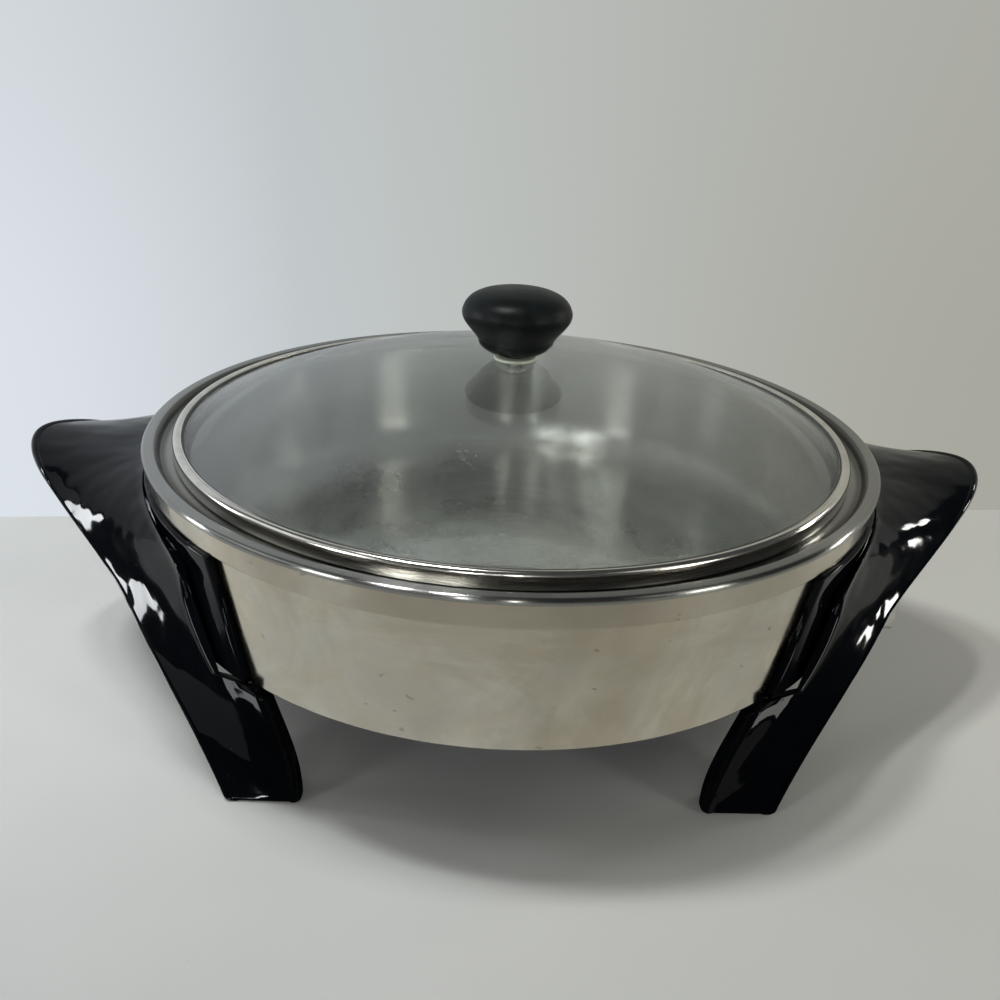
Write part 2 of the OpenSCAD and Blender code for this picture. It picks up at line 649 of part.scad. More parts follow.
module lid_gasket() {
    color("dimgray")
    rotate_extrude($fn = 180)
    polygon([
        [ring_in_r + 0.4, glass_shoulder_z + gasket_t], [ring_in_r + 0.4, glass_shoulder_z],
        [glass_rim_r, glass_shoulder_z], [glass_rim_r, glass_low_z], [ring_in_r + 1.4, glass_low_z],
        [ring_in_r + 1.4, glass_low_z - gasket_t], [ring_r - ring_t, glass_low_z - gasket_t],
        [ring_r - ring_t, glass_shoulder_z + gasket_t]
    ]);
}

module lid_ring() {
    roll = 1.2;
    shelf_z = glass_low_z - gasket_t;
    color("silver")
    rotate_extrude($fn = 180)
    polygon(concat(
        [[ring_in_r, ring_top_z - ring_t], [ring_in_r + 0.3, ring_top_z]],
        arc(ring_r - roll, ring_top_z - roll, roll, 90, 0, 5),
        [[ring_r, ring_low_z + 0.5], [ring_r - 0.5, ring_low_z]],
        [[skirt_r, ring_low_z], [skirt_r, ring_low_z - skirt_drop + 0.6], [skirt_r - 0.6, ring_low_z - skirt_drop]],
        [[skirt_r - ring_t - 0.6, ring_low_z - skirt_drop], [skirt_r - ring_t - 0.6, shelf_z]],
        [[ring_r - ring_t, shelf_z], [ring_r - ring_t, ring_top_z - ring_t]]
    ));
}

// Knob stack on the glass: washer, knob with its insert, and a screw from below
washer_r = 13.5;
washer_t = 1.4;
knob_low_z = dome_top_z + washer_t;
knob_top_z = dome_top_z + knob_h;
insert_r = 4;
insert_h = 12;
skirt_bottom_z = knob_low_z + 1.8;
function knob_z(share) = skirt_bottom_z + share * (knob_top_z - skirt_bottom_z);
module knob() {
    color([0.06, 0.06, 0.06])
    difference() {
        rotate_extrude($fn = 96)
        polygon(concat(
            [[0, knob_low_z], [neck_r, knob_low_z], [neck_r, skirt_bottom_z + 2.5], [knob_r * 0.46, skirt_bottom_z + 0.6]],
            [[knob_r * 0.5, skirt_bottom_z], [knob_r * 0.56, skirt_bottom_z + 0.6], [knob_r * 0.6, knob_z(0.1)]],
            [[knob_r * 0.66, knob_z(0.18)], [knob_r * 0.75, knob_z(0.28)], [knob_r * 0.86, knob_z(0.38)]],
            [[knob_r * 0.95, knob_z(0.47)], [knob_r * 0.99, knob_z(0.54)], [knob_r, knob_z(0.6)], [knob_r * 0.985, knob_z(0.68)]],
            [[knob_r * 0.93, knob_z(0.78)], [knob_r * 0.82, knob_z(0.87)], [knob_r * 0.64, knob_z(0.94)]],
            [[knob_r * 0.4, knob_z(0.98)], [knob_r * 0.2, knob_z(0.995)], [0, knob_top_z]]
        ));
        translate([0, 0, knob_low_z - 1]) cylinder(r = insert_r, h = insert_h + 1, $fn = 48);
    }
}
module knob_insert() {
    color("goldenrod")
    translate([0, 0, knob_low_z])
    difference() {
        cylinder(r = insert_r, h = insert_h, $fn = 48);
        translate([0, 0, -1]) cylinder(d = screw_d, h = insert_h, $fn = 32);
    }
}
// The washers follow the dome's curve on the side that touches it
module knob_washer() {
    color([0.75, 0.8, 0.72])
    rotate_extrude($fn = 96)
    polygon(concat(
        [for (i = [0:6]) let (r = hole_r + (washer_r - hole_r) * i / 6) [r, dome_z(r) + 0.02]],
        [[washer_r, dome_z(washer_r) + washer_t - 0.5], [neck_r + 2, knob_low_z], [hole_r, knob_low_z]]
    ));
}
glass_under_z = dome_top_z - glass_t;
module under_washer() {
    color("dimgray")
    rotate_extrude($fn = 96)
    polygon(concat(
        [for (i = [0:5]) let (r = hole_r + (9 - hole_r) * i / 5) [r, dome_z(r) - glass_t - 0.06]],
        [[9, glass_under_z - washer_t], [hole_r, glass_under_z - washer_t]]
    ));
}
module knob_screw() {
    head_z = glass_under_z - washer_t;
    color("silver")
    difference() {
        rotate_extrude($fn = 48)
        polygon(concat(
            [[0, head_z - 3]], arc(3.6, head_z - 0.8, 2.2, -90, 0, 6), [[5.8, head_z]],
            [[screw_d / 2, head_z], [screw_d / 2, knob_low_z + insert_h - 2.5], [0, knob_low_z + insert_h - 2.5]]
        ));
        translate([-0.6, -8, head_z - 4]) cube([1.2, 16, 2]);
    }
}

inner_pan();
outer_shell();
heat_plate();
heating_element();
element_clamps();
base_cover();
cover_screws();
terminal_block();
terminal_pin_front();
terminal_pin_rear();
probe_tube();
terminal_guard();
guard_rivets();
handle_leg_left();
handle_leg_right();
handle_saddle_left();
handle_saddle_right();
handle_studs_left();
handle_studs_right();
handle_nuts_left();
handle_nuts_right();
lid_glass();
lid_ring();
lid_gasket();
knob();
knob_insert();
knob_washer();
under_washer();
knob_screw();
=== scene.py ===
"""Electric skillet: the looks of the pan, the handle-legs, the lid, the knob and the works below,
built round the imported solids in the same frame."""

import math

import bmesh
import bpy
from bpy.props import FloatProperty, FloatVectorProperty, PointerProperty
from mathutils import Matrix, Vector


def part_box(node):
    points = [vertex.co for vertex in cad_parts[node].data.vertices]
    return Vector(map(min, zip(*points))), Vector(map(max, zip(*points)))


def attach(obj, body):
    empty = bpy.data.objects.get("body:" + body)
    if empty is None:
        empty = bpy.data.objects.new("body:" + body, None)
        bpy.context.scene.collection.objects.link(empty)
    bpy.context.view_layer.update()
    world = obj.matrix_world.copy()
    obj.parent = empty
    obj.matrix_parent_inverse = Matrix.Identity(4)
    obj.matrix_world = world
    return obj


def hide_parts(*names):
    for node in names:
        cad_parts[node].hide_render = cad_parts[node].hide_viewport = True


bl_info = {
    "name": "Electric Skillet",
    "version": (1, 0, 0),
    "blender": (4, 5, 0),
    "location": "View3D > Sidebar > Skillet",
    "description": "Builds the looks of an electric skillet round its packed solids",
    "category": "Add Mesh",
}

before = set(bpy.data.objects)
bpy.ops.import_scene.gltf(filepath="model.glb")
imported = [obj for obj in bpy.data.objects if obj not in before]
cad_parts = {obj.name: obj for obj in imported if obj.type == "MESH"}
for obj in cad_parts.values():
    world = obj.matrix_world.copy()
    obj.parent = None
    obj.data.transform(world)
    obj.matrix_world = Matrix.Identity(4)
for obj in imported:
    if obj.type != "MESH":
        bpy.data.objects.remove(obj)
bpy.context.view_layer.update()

PAN_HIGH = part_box("inner_pan")[1]
SHELL_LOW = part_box("outer_shell")[0]
COVER_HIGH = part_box("base_cover")[1]
RING_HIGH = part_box("lid_ring")[1]
KNOB_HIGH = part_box("knob")[1]

# Fixed measures of the pan, in metres
BEAD_WIDTH, BEAD_THICK = 0.0058, 0.003
LEDGE_DROP, LEDGE_WIDTH = 0.005, 0.0049
BAND_INSET, BAND_STEP = 0.0017, 0.0014
RIM_WIDTH = 0.0154
PAN_SHEET, SHELL_SHEET = 0.0012, 0.001
WELL_CORNER, WELL_DRAFT = 0.017, 0.0014
COVER_FLANGE, COVER_LAP = 0.006, 0.002

# The camera's place, and its turn to the side, down and about its own axis in radians
EYE = (-0.01524, -0.40365, 0.28025)
YAW, PITCH, ROLL = 0.02821, 0.43402, -0.04710

# The tone of the air round the stage
AIR = (0.53, 0.545, 0.535)


# Sizes and colours


def size_property(name, description, default):
    kinds = {"subtype": "DISTANCE", "unit": "LENGTH"}
    return FloatProperty(name=name, description=description, default=default, **kinds)


def colour_property(name, description, default):
    kinds = {"size": 3, "min": 0.0, "max": 1.0, "subtype": "COLOR"}
    return FloatVectorProperty(name=name, description=description, default=default, **kinds)


class SkilletSizes(bpy.types.PropertyGroup):
    rim_radius: size_property("Rim radius", "Outer radius of the rolled rim", PAN_HIGH.x)
    rim_height: size_property("Rim height", "Height of the rim's top above the table", PAN_HIGH.z)
    pan_base: size_property("Pan base height", "Height of the pan's bottom edge", SHELL_LOW.z)
    band_height: size_property("Band height", "Height of the upright band under the rim", 0.0094)
    wall_taper: size_property("Wall taper", "How much narrower the wall is at its foot", 0.0049)
    grip_reach: size_property("Grip reach", "Half of the length over both grips", PAN_HIGH.x + 0.06)
    grip_height: size_property("Grip height", "Height of the grip's outer edge", 0.123)
    foot_spread: size_property("Foot spread", "From the long axis to each foot's face", 0.113)
    ring_radius: size_property("Lid ring radius", "Outer radius of the steel ring", RING_HIGH.x)
    dome_height: size_property("Dome height", "Rise of the glass above the lid's ring", 0.027)
    knob_radius: size_property("Knob radius", "Largest radius of the knob", KNOB_HIGH.x)


class SkilletColours(bpy.types.PropertyGroup):
    wall_steel: colour_property("Wall steel", "Colour of the polished wall", (0.60, 0.57, 0.49))
    well_steel: colour_property("Well steel", "Colour of the brushed well", (0.33, 0.33, 0.31))
    handle_black: colour_property(
        "Handle black", "Colour of the handle-legs", (0.0016, 0.0020, 0.0028)
    )
    knob_black: colour_property("Knob black", "Colour of the satin knob", (0.0035, 0.0046, 0.0046))
    glass_tint: colour_property("Glass tint", "Tint of the lid's glass", (0.95, 0.965, 0.955))
    table: colour_property("Table", "Colour of the table", (0.60, 0.605, 0.595))


# Shaping

# Steps of a rounded corner, and round the axis for pan and ring, glass and seal, knob, collar
CORNER_STEPS = 4
PAN_STEPS, GLASS_STEPS, KNOB_STEPS, COLLAR_STEPS = 288, 240, 144, 96
WELD = 1e-6


def arc(x, z, r, start, end, steps=8):
    """Points on an arc of radius r about (x, z), angles in degrees."""
    angles = [math.radians(start + (end - start) * i / steps) for i in range(steps + 1)]
    return [(x + r * math.cos(a), z + r * math.sin(a)) for a in angles]


def eased(outline, closed=True):
    """Rounds the corners of an outline of (x, z) or (x, z, radius) points."""
    done = []
    count = len(outline)
    for i, corner in enumerate(outline):
        here = Vector(corner[:2])
        if len(corner) < 3 or (not closed and i in (0, count - 1)):
            done.append(tuple(here))
            continue
        before = Vector(outline[i - 1][:2]) - here
        after = Vector(outline[(i + 1) % count][:2]) - here
        reach = min(corner[2], before.length * 0.45, after.length * 0.45)
        first, last = here + before.normalized() * reach, here + after.normalized() * reach
        for k in range(CORNER_STEPS + 1):
            t = k / CORNER_STEPS
            done.append(tuple((1 - t) ** 2 * first + 2 * t * (1 - t) * here + t * t * last))
    return done


def smoothed(outline, steps=5):
    """A smooth line through every point of an open outline."""
    points = [Vector(corner) for corner in outline]
    points = [2 * points[0] - points[1], *points, 2 * points[-1] - points[-2]]
    done = []
    for a, b, c, d in zip(points, points[1:], points[2:], points[3:]):
        for k in range(steps):
            t = k / steps
            bend = (2 * a - 5 * b + 4 * c - d) * t * t + (3 * b - a - 3 * c + d) * t**3
            done.append(tuple(b + ((c - a) * t + bend) / 2))
    return [*done, tuple(points[-2])]


def linked(bm, verts, closed=True):
    """Edges from each point of a line to the next."""
    pairs = list(zip(verts, verts[1:]))
    if closed:
        pairs.append((verts[-1], verts[0]))
    return [bm.edges.new(pair) for pair in pairs]


def spun(bm, line, angle, steps, merged=False):
    """Spins a line round the Z axis."""
    axis = {"cent": (0, 0, 0), "axis": (0, 0, 1)}
    bmesh.ops.spin(bm, geom=line, angle=angle, steps=steps, use_merge=merged, **axis)


def cut_off(bm, place, normal):
    """Cuts off what lies past a plane and gives the edges of the cut."""
    geom = bm.verts[:] + bm.edges[:] + bm.faces[:]
    plane = {"plane_co": place, "plane_no": normal}
    cut = bmesh.ops.bisect_plane(bm, geom=geom, clear_outer=True, dist=WELD, **plane)
    return [e for e in cut["geom_cut"] if isinstance(e, bmesh.types.BMEdge)]


def turned(outline, steps, closed=True):
    """An outline of (radius, height) points spun round the Z axis."""
    bm = bmesh.new()
    verts = [bm.verts.new((r, 0, z)) for r, z in outline]
    spun(bm, verts + linked(bm, verts, closed), math.tau, steps, True)
    bmesh.ops.remove_doubles(bm, verts=bm.verts, dist=WELD)
    bmesh.ops.recalc_face_normals(bm, faces=bm.faces)
    return bm


def finished(bm, name, body, material, replaces=(), sharp=35):
    """Makes a piece of a bmesh, shades it smooth and gives it its finish and its body."""
    mesh = bpy.data.meshes.new(name)
    bm.to_mesh(mesh)
    bm.free()
    mesh.polygons.foreach_set("use_smooth", [True] * len(mesh.polygons))
    mesh.set_sharp_from_angle(angle=math.radians(sharp))
    piece = bpy.data.objects.new(name, mesh)
    bpy.context.scene.collection.objects.link(piece)
    mesh.materials.append(material)
    weighted = piece.modifiers.new("Even shading", "WEIGHTED_NORMAL")
    weighted.keep_sharp = True
    weighted.weight = 60
    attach(piece, body)
    if replaces:
        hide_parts(*replaces)
    return piece


# Finishes

# Sockets of the colour form of the Mix node
MIX_SHARE, MIX_FIRST, MIX_SECOND, MIX_RESULT = 0, 6, 7, 2


class Finish:
    """A material and short ways to add and join its nodes."""

    def __init__(self, name):
        self.material = bpy.data.materials.new(name)
        self.material.use_nodes = True
        self.tree = self.material.node_tree
        self.tree.nodes.clear()
        self.place = self.add("ShaderNodeTexCoord").outputs["Object"]
        self.colours = bpy.context.scene.skillet_colours
        self.sizes = bpy.context.scene.skillet_sizes

    @classmethod
    def of_world(cls, world):
        """The same ways for the world's nodes, with the direction of sight as its place."""
        finish = cls.__new__(cls)
        world.use_nodes = True
        finish.tree = world.node_tree
        finish.tree.nodes.clear()
        finish.place = finish.add("ShaderNodeTexCoord").outputs["Generated"]
        return finish

    def add(self, kind, inputs=(), **settings):
        node = self.tree.nodes.new(kind)
        for key, value in settings.items():
            setattr(node, key, value)
        for key, value in dict(inputs).items():
            self.put(node.inputs[key], value)
        return node

    def put(self, socket, value):
        if isinstance(value, bpy.types.NodeSocket):
            self.tree.links.new(value, socket)
        else:
            if socket.type == "RGBA" and len(value) == 3:
                value = (*value, 1.0)
            socket.default_value = value

    def noise(self, scale, detail=3.0, rough=0.55, source=None, distortion=0.0):
        grain = {"Scale": scale, "Detail": detail, "Roughness": rough, "Distortion": distortion}
        grain["Vector"] = source or self.place
        return self.add("ShaderNodeTexNoise", grain).outputs["Fac"]

    def ramp(self, source, low, high, start=0.0, end=1.0):
        span = {"From Min": low, "From Max": high, "To Min": start, "To Max": end}
        span["Value"] = source
        node = self.add("ShaderNodeMapRange", span, interpolation_type="SMOOTHSTEP")
        return node.outputs["Result"]

    def maths(self, operation, a, b=0.0):
        node = self.add("ShaderNodeMath", operation=operation)
        self.put(node.inputs[0], a)
        self.put(node.inputs[1], b)
        return node.outputs[0]

    def times(self, a, b):
        return self.maths("MULTIPLY", a, b)

    def mixed(self, share, a, b):
        node = self.add("ShaderNodeMix", data_type="RGBA")
        self.put(node.inputs[MIX_SHARE], share)
        self.put(node.inputs[MIX_FIRST], a)
        self.put(node.inputs[MIX_SECOND], b)
        return node.outputs[MIX_RESULT]

    def xyz(self):
        """The three coordinates of the place, as sockets."""
        return self.add("ShaderNodeSeparateXYZ", {"Vector": self.place}).outputs

    def round_z(self):
        """Distance from the Z axis, angle round it and height, as sockets."""
        x, y, z = self.xyz()
        radius = self.maths("SQRT", self.maths("ADD", self.times(x, x), self.times(y, y)))
        return radius, self.maths("ARCTAN2", y, x), z

    def joined(self, x, y, z):
        node = self.add("ShaderNodeCombineXYZ")
        for socket, value in zip(node.inputs, (x, y, z)):
            self.put(socket, value)
        return node.outputs[0]

    def polishing_lines(self, across, along, detail, rough):
        """A noise drawn out into fine lines round the Z axis."""
        radius, angle, height = self.round_z()
        lines = self.joined(*map(self.times, (radius, angle, height), (across, along, across)))
        return self.noise(1.0, detail, rough, lines)

    def dots(self, scale, low, high):
        """Small round dots, one to a cell."""
        cells = {"Vector": self.place, "Scale": scale, "Randomness": 1.0}
        away = self.add("ShaderNodeTexVoronoi", cells).outputs["Distance"]
        return self.ramp(away, low, high, 1.0, 0.0)

    def spot(self, centre, radius, soft):
        """1 inside a ball, falling to 0 over its soft edge."""
        off = self.add("ShaderNodeVectorMath", operation="DISTANCE")
        self.put(off.inputs[0], self.place)
        off.inputs[1].default_value = centre
        return self.ramp(off.outputs["Value"], radius - soft, radius + soft, 1.0, 0.0)

    def ray(self, kind):
        """1 for rays of a kind, such as Camera or Glossy, and 0 for the others."""
        return self.add("ShaderNodeLightPath").outputs[f"Is {kind} Ray"]

    def bumped(self, height, strength, distance, normal=None):
        relief = {"Height": height, "Strength": strength, "Distance": distance}
        node = self.add("ShaderNodeBump", relief)
        if normal is not None:
            self.put(node.inputs["Normal"], normal)
        return node.outputs["Normal"]

    def surface(self, **inputs):
        """The Principled shader of this finish; words in names are joined by underscores."""
        shader = self.add("ShaderNodeBsdfPrincipled")
        for key, value in inputs.items():
            self.put(shader.inputs[key.replace("_", " ")], value)
        return shader.outputs["BSDF"]

    def turned_metal(self, colour, rough, brushing, normal):
        """Bare metal, with its highlights drawn out by polishing lines round the Z axis."""
        ringwise = self.add("ShaderNodeVectorMath", operation="CROSS_PRODUCT")
        ringwise.inputs[0].default_value = (0, 0, 1)
        self.put(ringwise.inputs[1], self.place)
        return self.surface(
            Base_Color=colour,
            Metallic=1.0,
            Roughness=rough,
            Normal=normal,
            Anisotropic=brushing,
            Anisotropic_Rotation=0.25,
            Tangent=ringwise.outputs[0],
        )

    def glow(self, colour):
        return self.add("ShaderNodeEmission", {"Color": colour, "Strength": 1.0}).outputs[0]

    def blended(self, share, first, second):
        """The first shader turning into the second as share goes from 0 to 1."""
        return self.add("ShaderNodeMixShader", {0: share, 1: first, 2: second}).outputs[0]

    def out(self, shader):
        self.add("ShaderNodeOutputMaterial", {"Surface": shader})
        return self.material


def scaled(colour, factor):
    """A colour made lighter or darker, and kept below 1."""
    return tuple(min(c * factor, 1.0) for c in colour)


def brushed_well(name, brushing, rough_low, rough_high, painted_light_lift):
    """The inside of the pan: fine scratches round the axis, heat stains and a few burnt specks,
    with painted shade in the groove by the bead and painted light lifting the tone.
    """
    f = Finish(name)
    # Painted light: the steel's tone is scaled by this factor, lighter on the floor than on the
    # wall
    steel = scaled(f.colours.well_steel, painted_light_lift)
    m = pan_marks(f.sizes)
    radius, angle, height = f.round_z()
    fine = f.polishing_lines(800.0, 3.0, 2.0, 0.5)
    bands = f.noise(1.0, 2.0, 0.5, f.joined(f.times(radius, 190.0), f.times(angle, 0.6), height))
    scuffs = f.noise(30.0, 6.0, 0.70)
    clouds = f.noise(8.0, 4.0, 0.6, distortion=0.6)
    floor = f.ramp(height, 0.0735, 0.0765, 1.0, 0.0)
    left_patch = f.spot((-0.045, -0.05, 0.072), 0.058, 0.04)
    front_patch = f.spot((0.035, -0.085, 0.072), 0.045, 0.035)
    patch = f.maths("MAXIMUM", left_patch, front_patch)
    stain = f.times(f.times(f.ramp(scuffs, 0.44, 0.66), patch), floor)
    specks = f.times(f.dots(190.0, 0.13, 0.20), f.ramp(f.noise(36.0, 2.0), 0.62, 0.65))
    # Painted shade: the groove between the ledge and the bead is painted nearly black
    inner = m["bead_in_r"]
    channel = f.times(
        f.ramp(radius, inner - 0.0045, inner - 0.0025),
        f.ramp(radius, inner + 0.0002, inner + 0.0012, 1.0, 0.0),
    )
    groove_shade = f.times(channel, f.ramp(height, m["ledge_z"] - 0.001, m["ledge_z"], 0.0, 0.8))
    tone = f.mixed(f.ramp(clouds, 0.35, 0.68), scaled(steel, 0.92), scaled(steel, 1.06))
    tone = f.mixed(f.times(f.ramp(fine, 0.35, 0.7), 0.3), tone, scaled(steel, 0.84))
    tone = f.mixed(f.times(stain, 0.5), tone, (0.17, 0.16, 0.135))
    tone = f.mixed(f.times(specks, f.times(floor, 0.85)), tone, (0.03, 0.027, 0.02))
    tone = f.mixed(groove_shade, tone, (0.05, 0.046, 0.04))
    rough = f.maths("ADD", f.ramp(bands, 0.3, 0.75, rough_low, rough_high), f.times(stain, 0.12))
    normal = f.bumped(fine, 0.02, 0.00005, f.bumped(clouds, 0.04, 0.003))
    return f.out(f.turned_metal(tone, rough, brushing, normal))


def polished_wall():
    """The pan's outside: polished steel with smudges, heat tints, scratches, nicks and pits, and a
    painted reflection that darkens the band above the seam.
    """
    f = Finish("polished_wall_steel")
    steel = f.colours.wall_steel
    seam = pan_marks(f.sizes)["band_low_z"]
    radius, angle, height = f.round_z()
    fine = f.noise(1.0, 4.0, 0.72, f.joined(f.times(angle, 3.0), f.times(height, 900.0), 0.0))
    dashes = f.noise(1.0, 2.0, 0.5, f.joined(f.times(angle, 26.0), f.times(height, 260.0), radius))
    smudge = f.noise(17.0, 5.0, 0.62, distortion=0.9)
    heat = f.ramp(f.noise(11.0, 5.0, 0.7, distortion=0.7), 0.45, 0.62)
    mottle = f.ramp(f.noise(60.0, 5.0, 0.62), 0.45, 0.65)
    # Painted reflection: the band above the seam is painted darker and browner, as if it mirrored
    # darker things than the wall below
    collar = f.ramp(height, seam - 0.0003, seam + 0.0003, 0.0, 0.42)
    nicks = f.times(f.ramp(dashes, 0.69, 0.73), f.ramp(f.noise(31.0, 2.0), 0.52, 0.60))
    pits = f.times(f.dots(120.0, 0.08, 0.13), f.ramp(f.noise(22.0, 2.0), 0.62, 0.66))
    tone = f.mixed(f.ramp(smudge, 0.3, 0.72), scaled(steel, 1.08), scaled(steel, 0.76))
    tone = f.mixed(f.times(heat, 0.6), tone, (0.44, 0.375, 0.265))
    tone = f.mixed(f.times(mottle, 0.38), tone, (0.55, 0.49, 0.38))
    tone = f.mixed(collar, tone, (0.40, 0.36, 0.29))
    tone = f.mixed(f.times(nicks, 0.5), tone, (0.20, 0.18, 0.14))
    tone = f.mixed(f.times(pits, 0.7), tone, (0.14, 0.12, 0.09))
    worn = f.times(f.ramp(fine, 0.5, 0.8), 0.05)
    rough = f.maths("ADD", f.ramp(smudge, 0.35, 0.75, 0.12, 0.24), worn)
    normal = f.bumped(fine, 0.03, 0.0001, f.bumped(smudge, 0.05, 0.004))
    return f.out(f.turned_metal(tone, rough, 0.3, normal))


def ring_steel():
    """The lid's ring: bright steel with rubbing marks."""
    f = Finish("bright_ring_steel")
    fine = f.polishing_lines(1500.0, 4.0, 3.0, 0.7)
    smudge = f.noise(40.0, 4.0, 0.6)
    tone = f.mixed(f.ramp(smudge, 0.35, 0.7), (0.74, 0.71, 0.65), (0.58, 0.56, 0.51))
    rough = f.ramp(fine, 0.3, 0.8, 0.12, 0.26)
    return f.out(f.turned_metal(tone, rough, 0.3, f.bumped(fine, 0.06, 0.0002)))


def gloss_moulding():
    """Handle-legs: glossy black moulding with a soft ripple, fine dust and dulled patches.

    Below the grips the shading leans upwards, as on a leg with a fuller knee."""
    f = Finish("gloss_black_moulding")
    black = f.colours.handle_black
    dulled = f.ramp(f.noise(19.0, 5.0, 0.65, distortion=0.5), 0.42, 0.78)
    dust = f.times(f.dots(260.0, 0.05, 0.09), f.ramp(f.noise(70.0, 2.0), 0.60, 0.66))
    tone = f.mixed(dulled, black, scaled(black, 1.9))
    tone = f.mixed(f.times(dust, 0.25), tone, (0.20, 0.20, 0.19))
    rough = f.maths("ADD", f.ramp(dulled, 0.0, 1.0, 0.05, 0.11), f.times(dust, 0.3))
    height = f.xyz()[2]
    leg_lean = f.ramp(height, -0.02, 0.113, 0.0, -0.085)
    foot_lean = f.ramp(height, -0.02, 0.065, 0.0, -0.051)
    ripple = f.times(f.noise(28.0, 2.0, 0.5), 0.0022)
    leaning = f.bumped(f.maths("ADD", f.maths("ADD", leg_lean, foot_lean), ripple), 1.0, 1.0)
    normal = f.bumped(f.noise(420.0, 2.0, 0.5), 0.015, 0.0002, leaning)
    gloss = f.surface(Base_Color=tone, Roughness=rough, Specular_IOR_Level=0.08, Normal=normal)
    return f.out(gloss)


def satin_knob():
    """The knob: satin black moulding, with a fine grain and handling marks."""
    f = Finish("satin_black_moulding")
    black = f.colours.knob_black
    grain = f.noise(900.0, 3.0, 0.6)
    rub = f.noise(60.0, 5.0, 0.65, distortion=0.4)
    tone = f.mixed(f.ramp(rub, 0.4, 0.75), black, scaled(black, 1.8))
    rough = f.ramp(rub, 0.35, 0.8, 0.38, 0.52)
    normal = f.bumped(grain, 0.10, 0.0003, f.bumped(rub, 0.04, 0.002))
    satin = f.surface(Base_Color=tone, Roughness=rough, Specular_IOR_Level=0.10, Normal=normal)
    return f.out(satin)


def clear_glass():
    """The lid's glass: clear, with a faint green tint and a few wipe marks.

    A share of the light goes straight through, and lamps shine through wholly."""
    f = Finish("lid_glass_clear")
    tint = f.colours.glass_tint
    wipes = f.noise(14.0, 5.0, 0.7, distortion=1.2)
    tone = f.mixed(f.ramp(wipes, 0.3, 0.8), tint, scaled(tint, 0.97))
    rough = f.ramp(wipes, 0.5, 0.85, 0.0, 0.05)
    glass = f.surface(Base_Color=tone, Roughness=rough, IOR=1.46, Transmission_Weight=1.0)
    straight = f.add("ShaderNodeBsdfTransparent", {"Color": scaled(tint, 0.93)}).outputs[0]
    return f.out(f.blended(f.maths("MAXIMUM", f.ray("Shadow"), 0.34), glass, straight))


def plain_metal(
    name, colour, rough, scale=180.0, dirt=(0.10, 0.09, 0.08), share=0.25, metallic=1.0, bump=0.15
):
    """Sheet, cast or plated metal with mottling, a little dirt and a fine grain."""
    f = Finish(name)
    grain = f.noise(scale, 4.0, 0.6)
    patches = f.noise(24.0, 5.0, 0.65, distortion=0.4)
    tone = f.mixed(f.ramp(grain, 0.3, 0.75), colour, scaled(colour, 0.82))
    tone = f.mixed(f.times(f.ramp(patches, 0.5, 0.8), share), tone, dirt)
    worn = f.ramp(patches, 0.3, 0.8, rough, min(rough + 0.16, 1.0))
    normal = f.bumped(grain, bump, 0.0004)
    return f.out(f.surface(Base_Color=tone, Metallic=metallic, Roughness=worn, Normal=normal))


def soft_matter(name, colour, rough, bump=0.2):
    """Rubber, ceramic or a moulded washer: a fine matt grain and uneven tone."""
    return plain_metal(name, colour, rough, 320.0, (0.08, 0.07, 0.06), 0.2, 0.0, bump)


# Operators


class SKILLET_OT_stage(bpy.types.Operator):
    """Add the table, the backdrop, the lamps and the camera"""

    bl_idname = "skillet.stage"
    bl_label = "Stage"

    def execute(self, context):
        table_and_backdrop()
        studio_air()
        lamps()
        camera(context.scene)
        return {"FINISHED"}


# Tones of the backdrop at shares of its width, from the left: painted light, paler and cooler to
# the left
BACKDROP_TONES = (
    (0.0, (0.72, 0.765, 0.82, 1)),
    (0.26, (0.545, 0.585, 0.60, 1)),
    (0.5, (0.505, 0.53, 0.51, 1)),
    (1.0, (0.395, 0.392, 0.345, 1)),
)


def backdrop_colour(f, x, y, z):
    """The backdrop's paint by direction from the camera's place: painted light, cooler and paler to
    the left, turning towards a mid grey higher up.
    """
    deep = f.maths("MAXIMUM", f.maths("ABSOLUTE", y), 0.05)
    across = f.ramp(f.maths("DIVIDE", x, deep), -0.62, 0.62)
    tones = f.add("ShaderNodeValToRGB", {"Fac": across})
    stops = tones.color_ramp.elements
    stops[0].color, stops[1].color = BACKDROP_TONES[0][1], BACKDROP_TONES[-1][1]
    for share, tone in BACKDROP_TONES[1:-1]:
        stops.new(share).color = tone
    # Painted light: higher up the backdrop's tones turn a little towards an even mid grey
    high = f.ramp(f.maths("DIVIDE", z, deep), -0.3, 0.12)
    return f.mixed(f.times(high, 0.22), tones.outputs["Color"], (0.44, 0.45, 0.44))


def staged(bm, name, material):
    """Makes a piece of the stage of a bmesh."""
    mesh = bpy.data.meshes.new(name)
    bm.to_mesh(mesh)
    bm.free()
    mesh.materials.append(material)
    piece = bpy.data.objects.new(name, mesh)
    bpy.context.scene.collection.objects.link(piece)


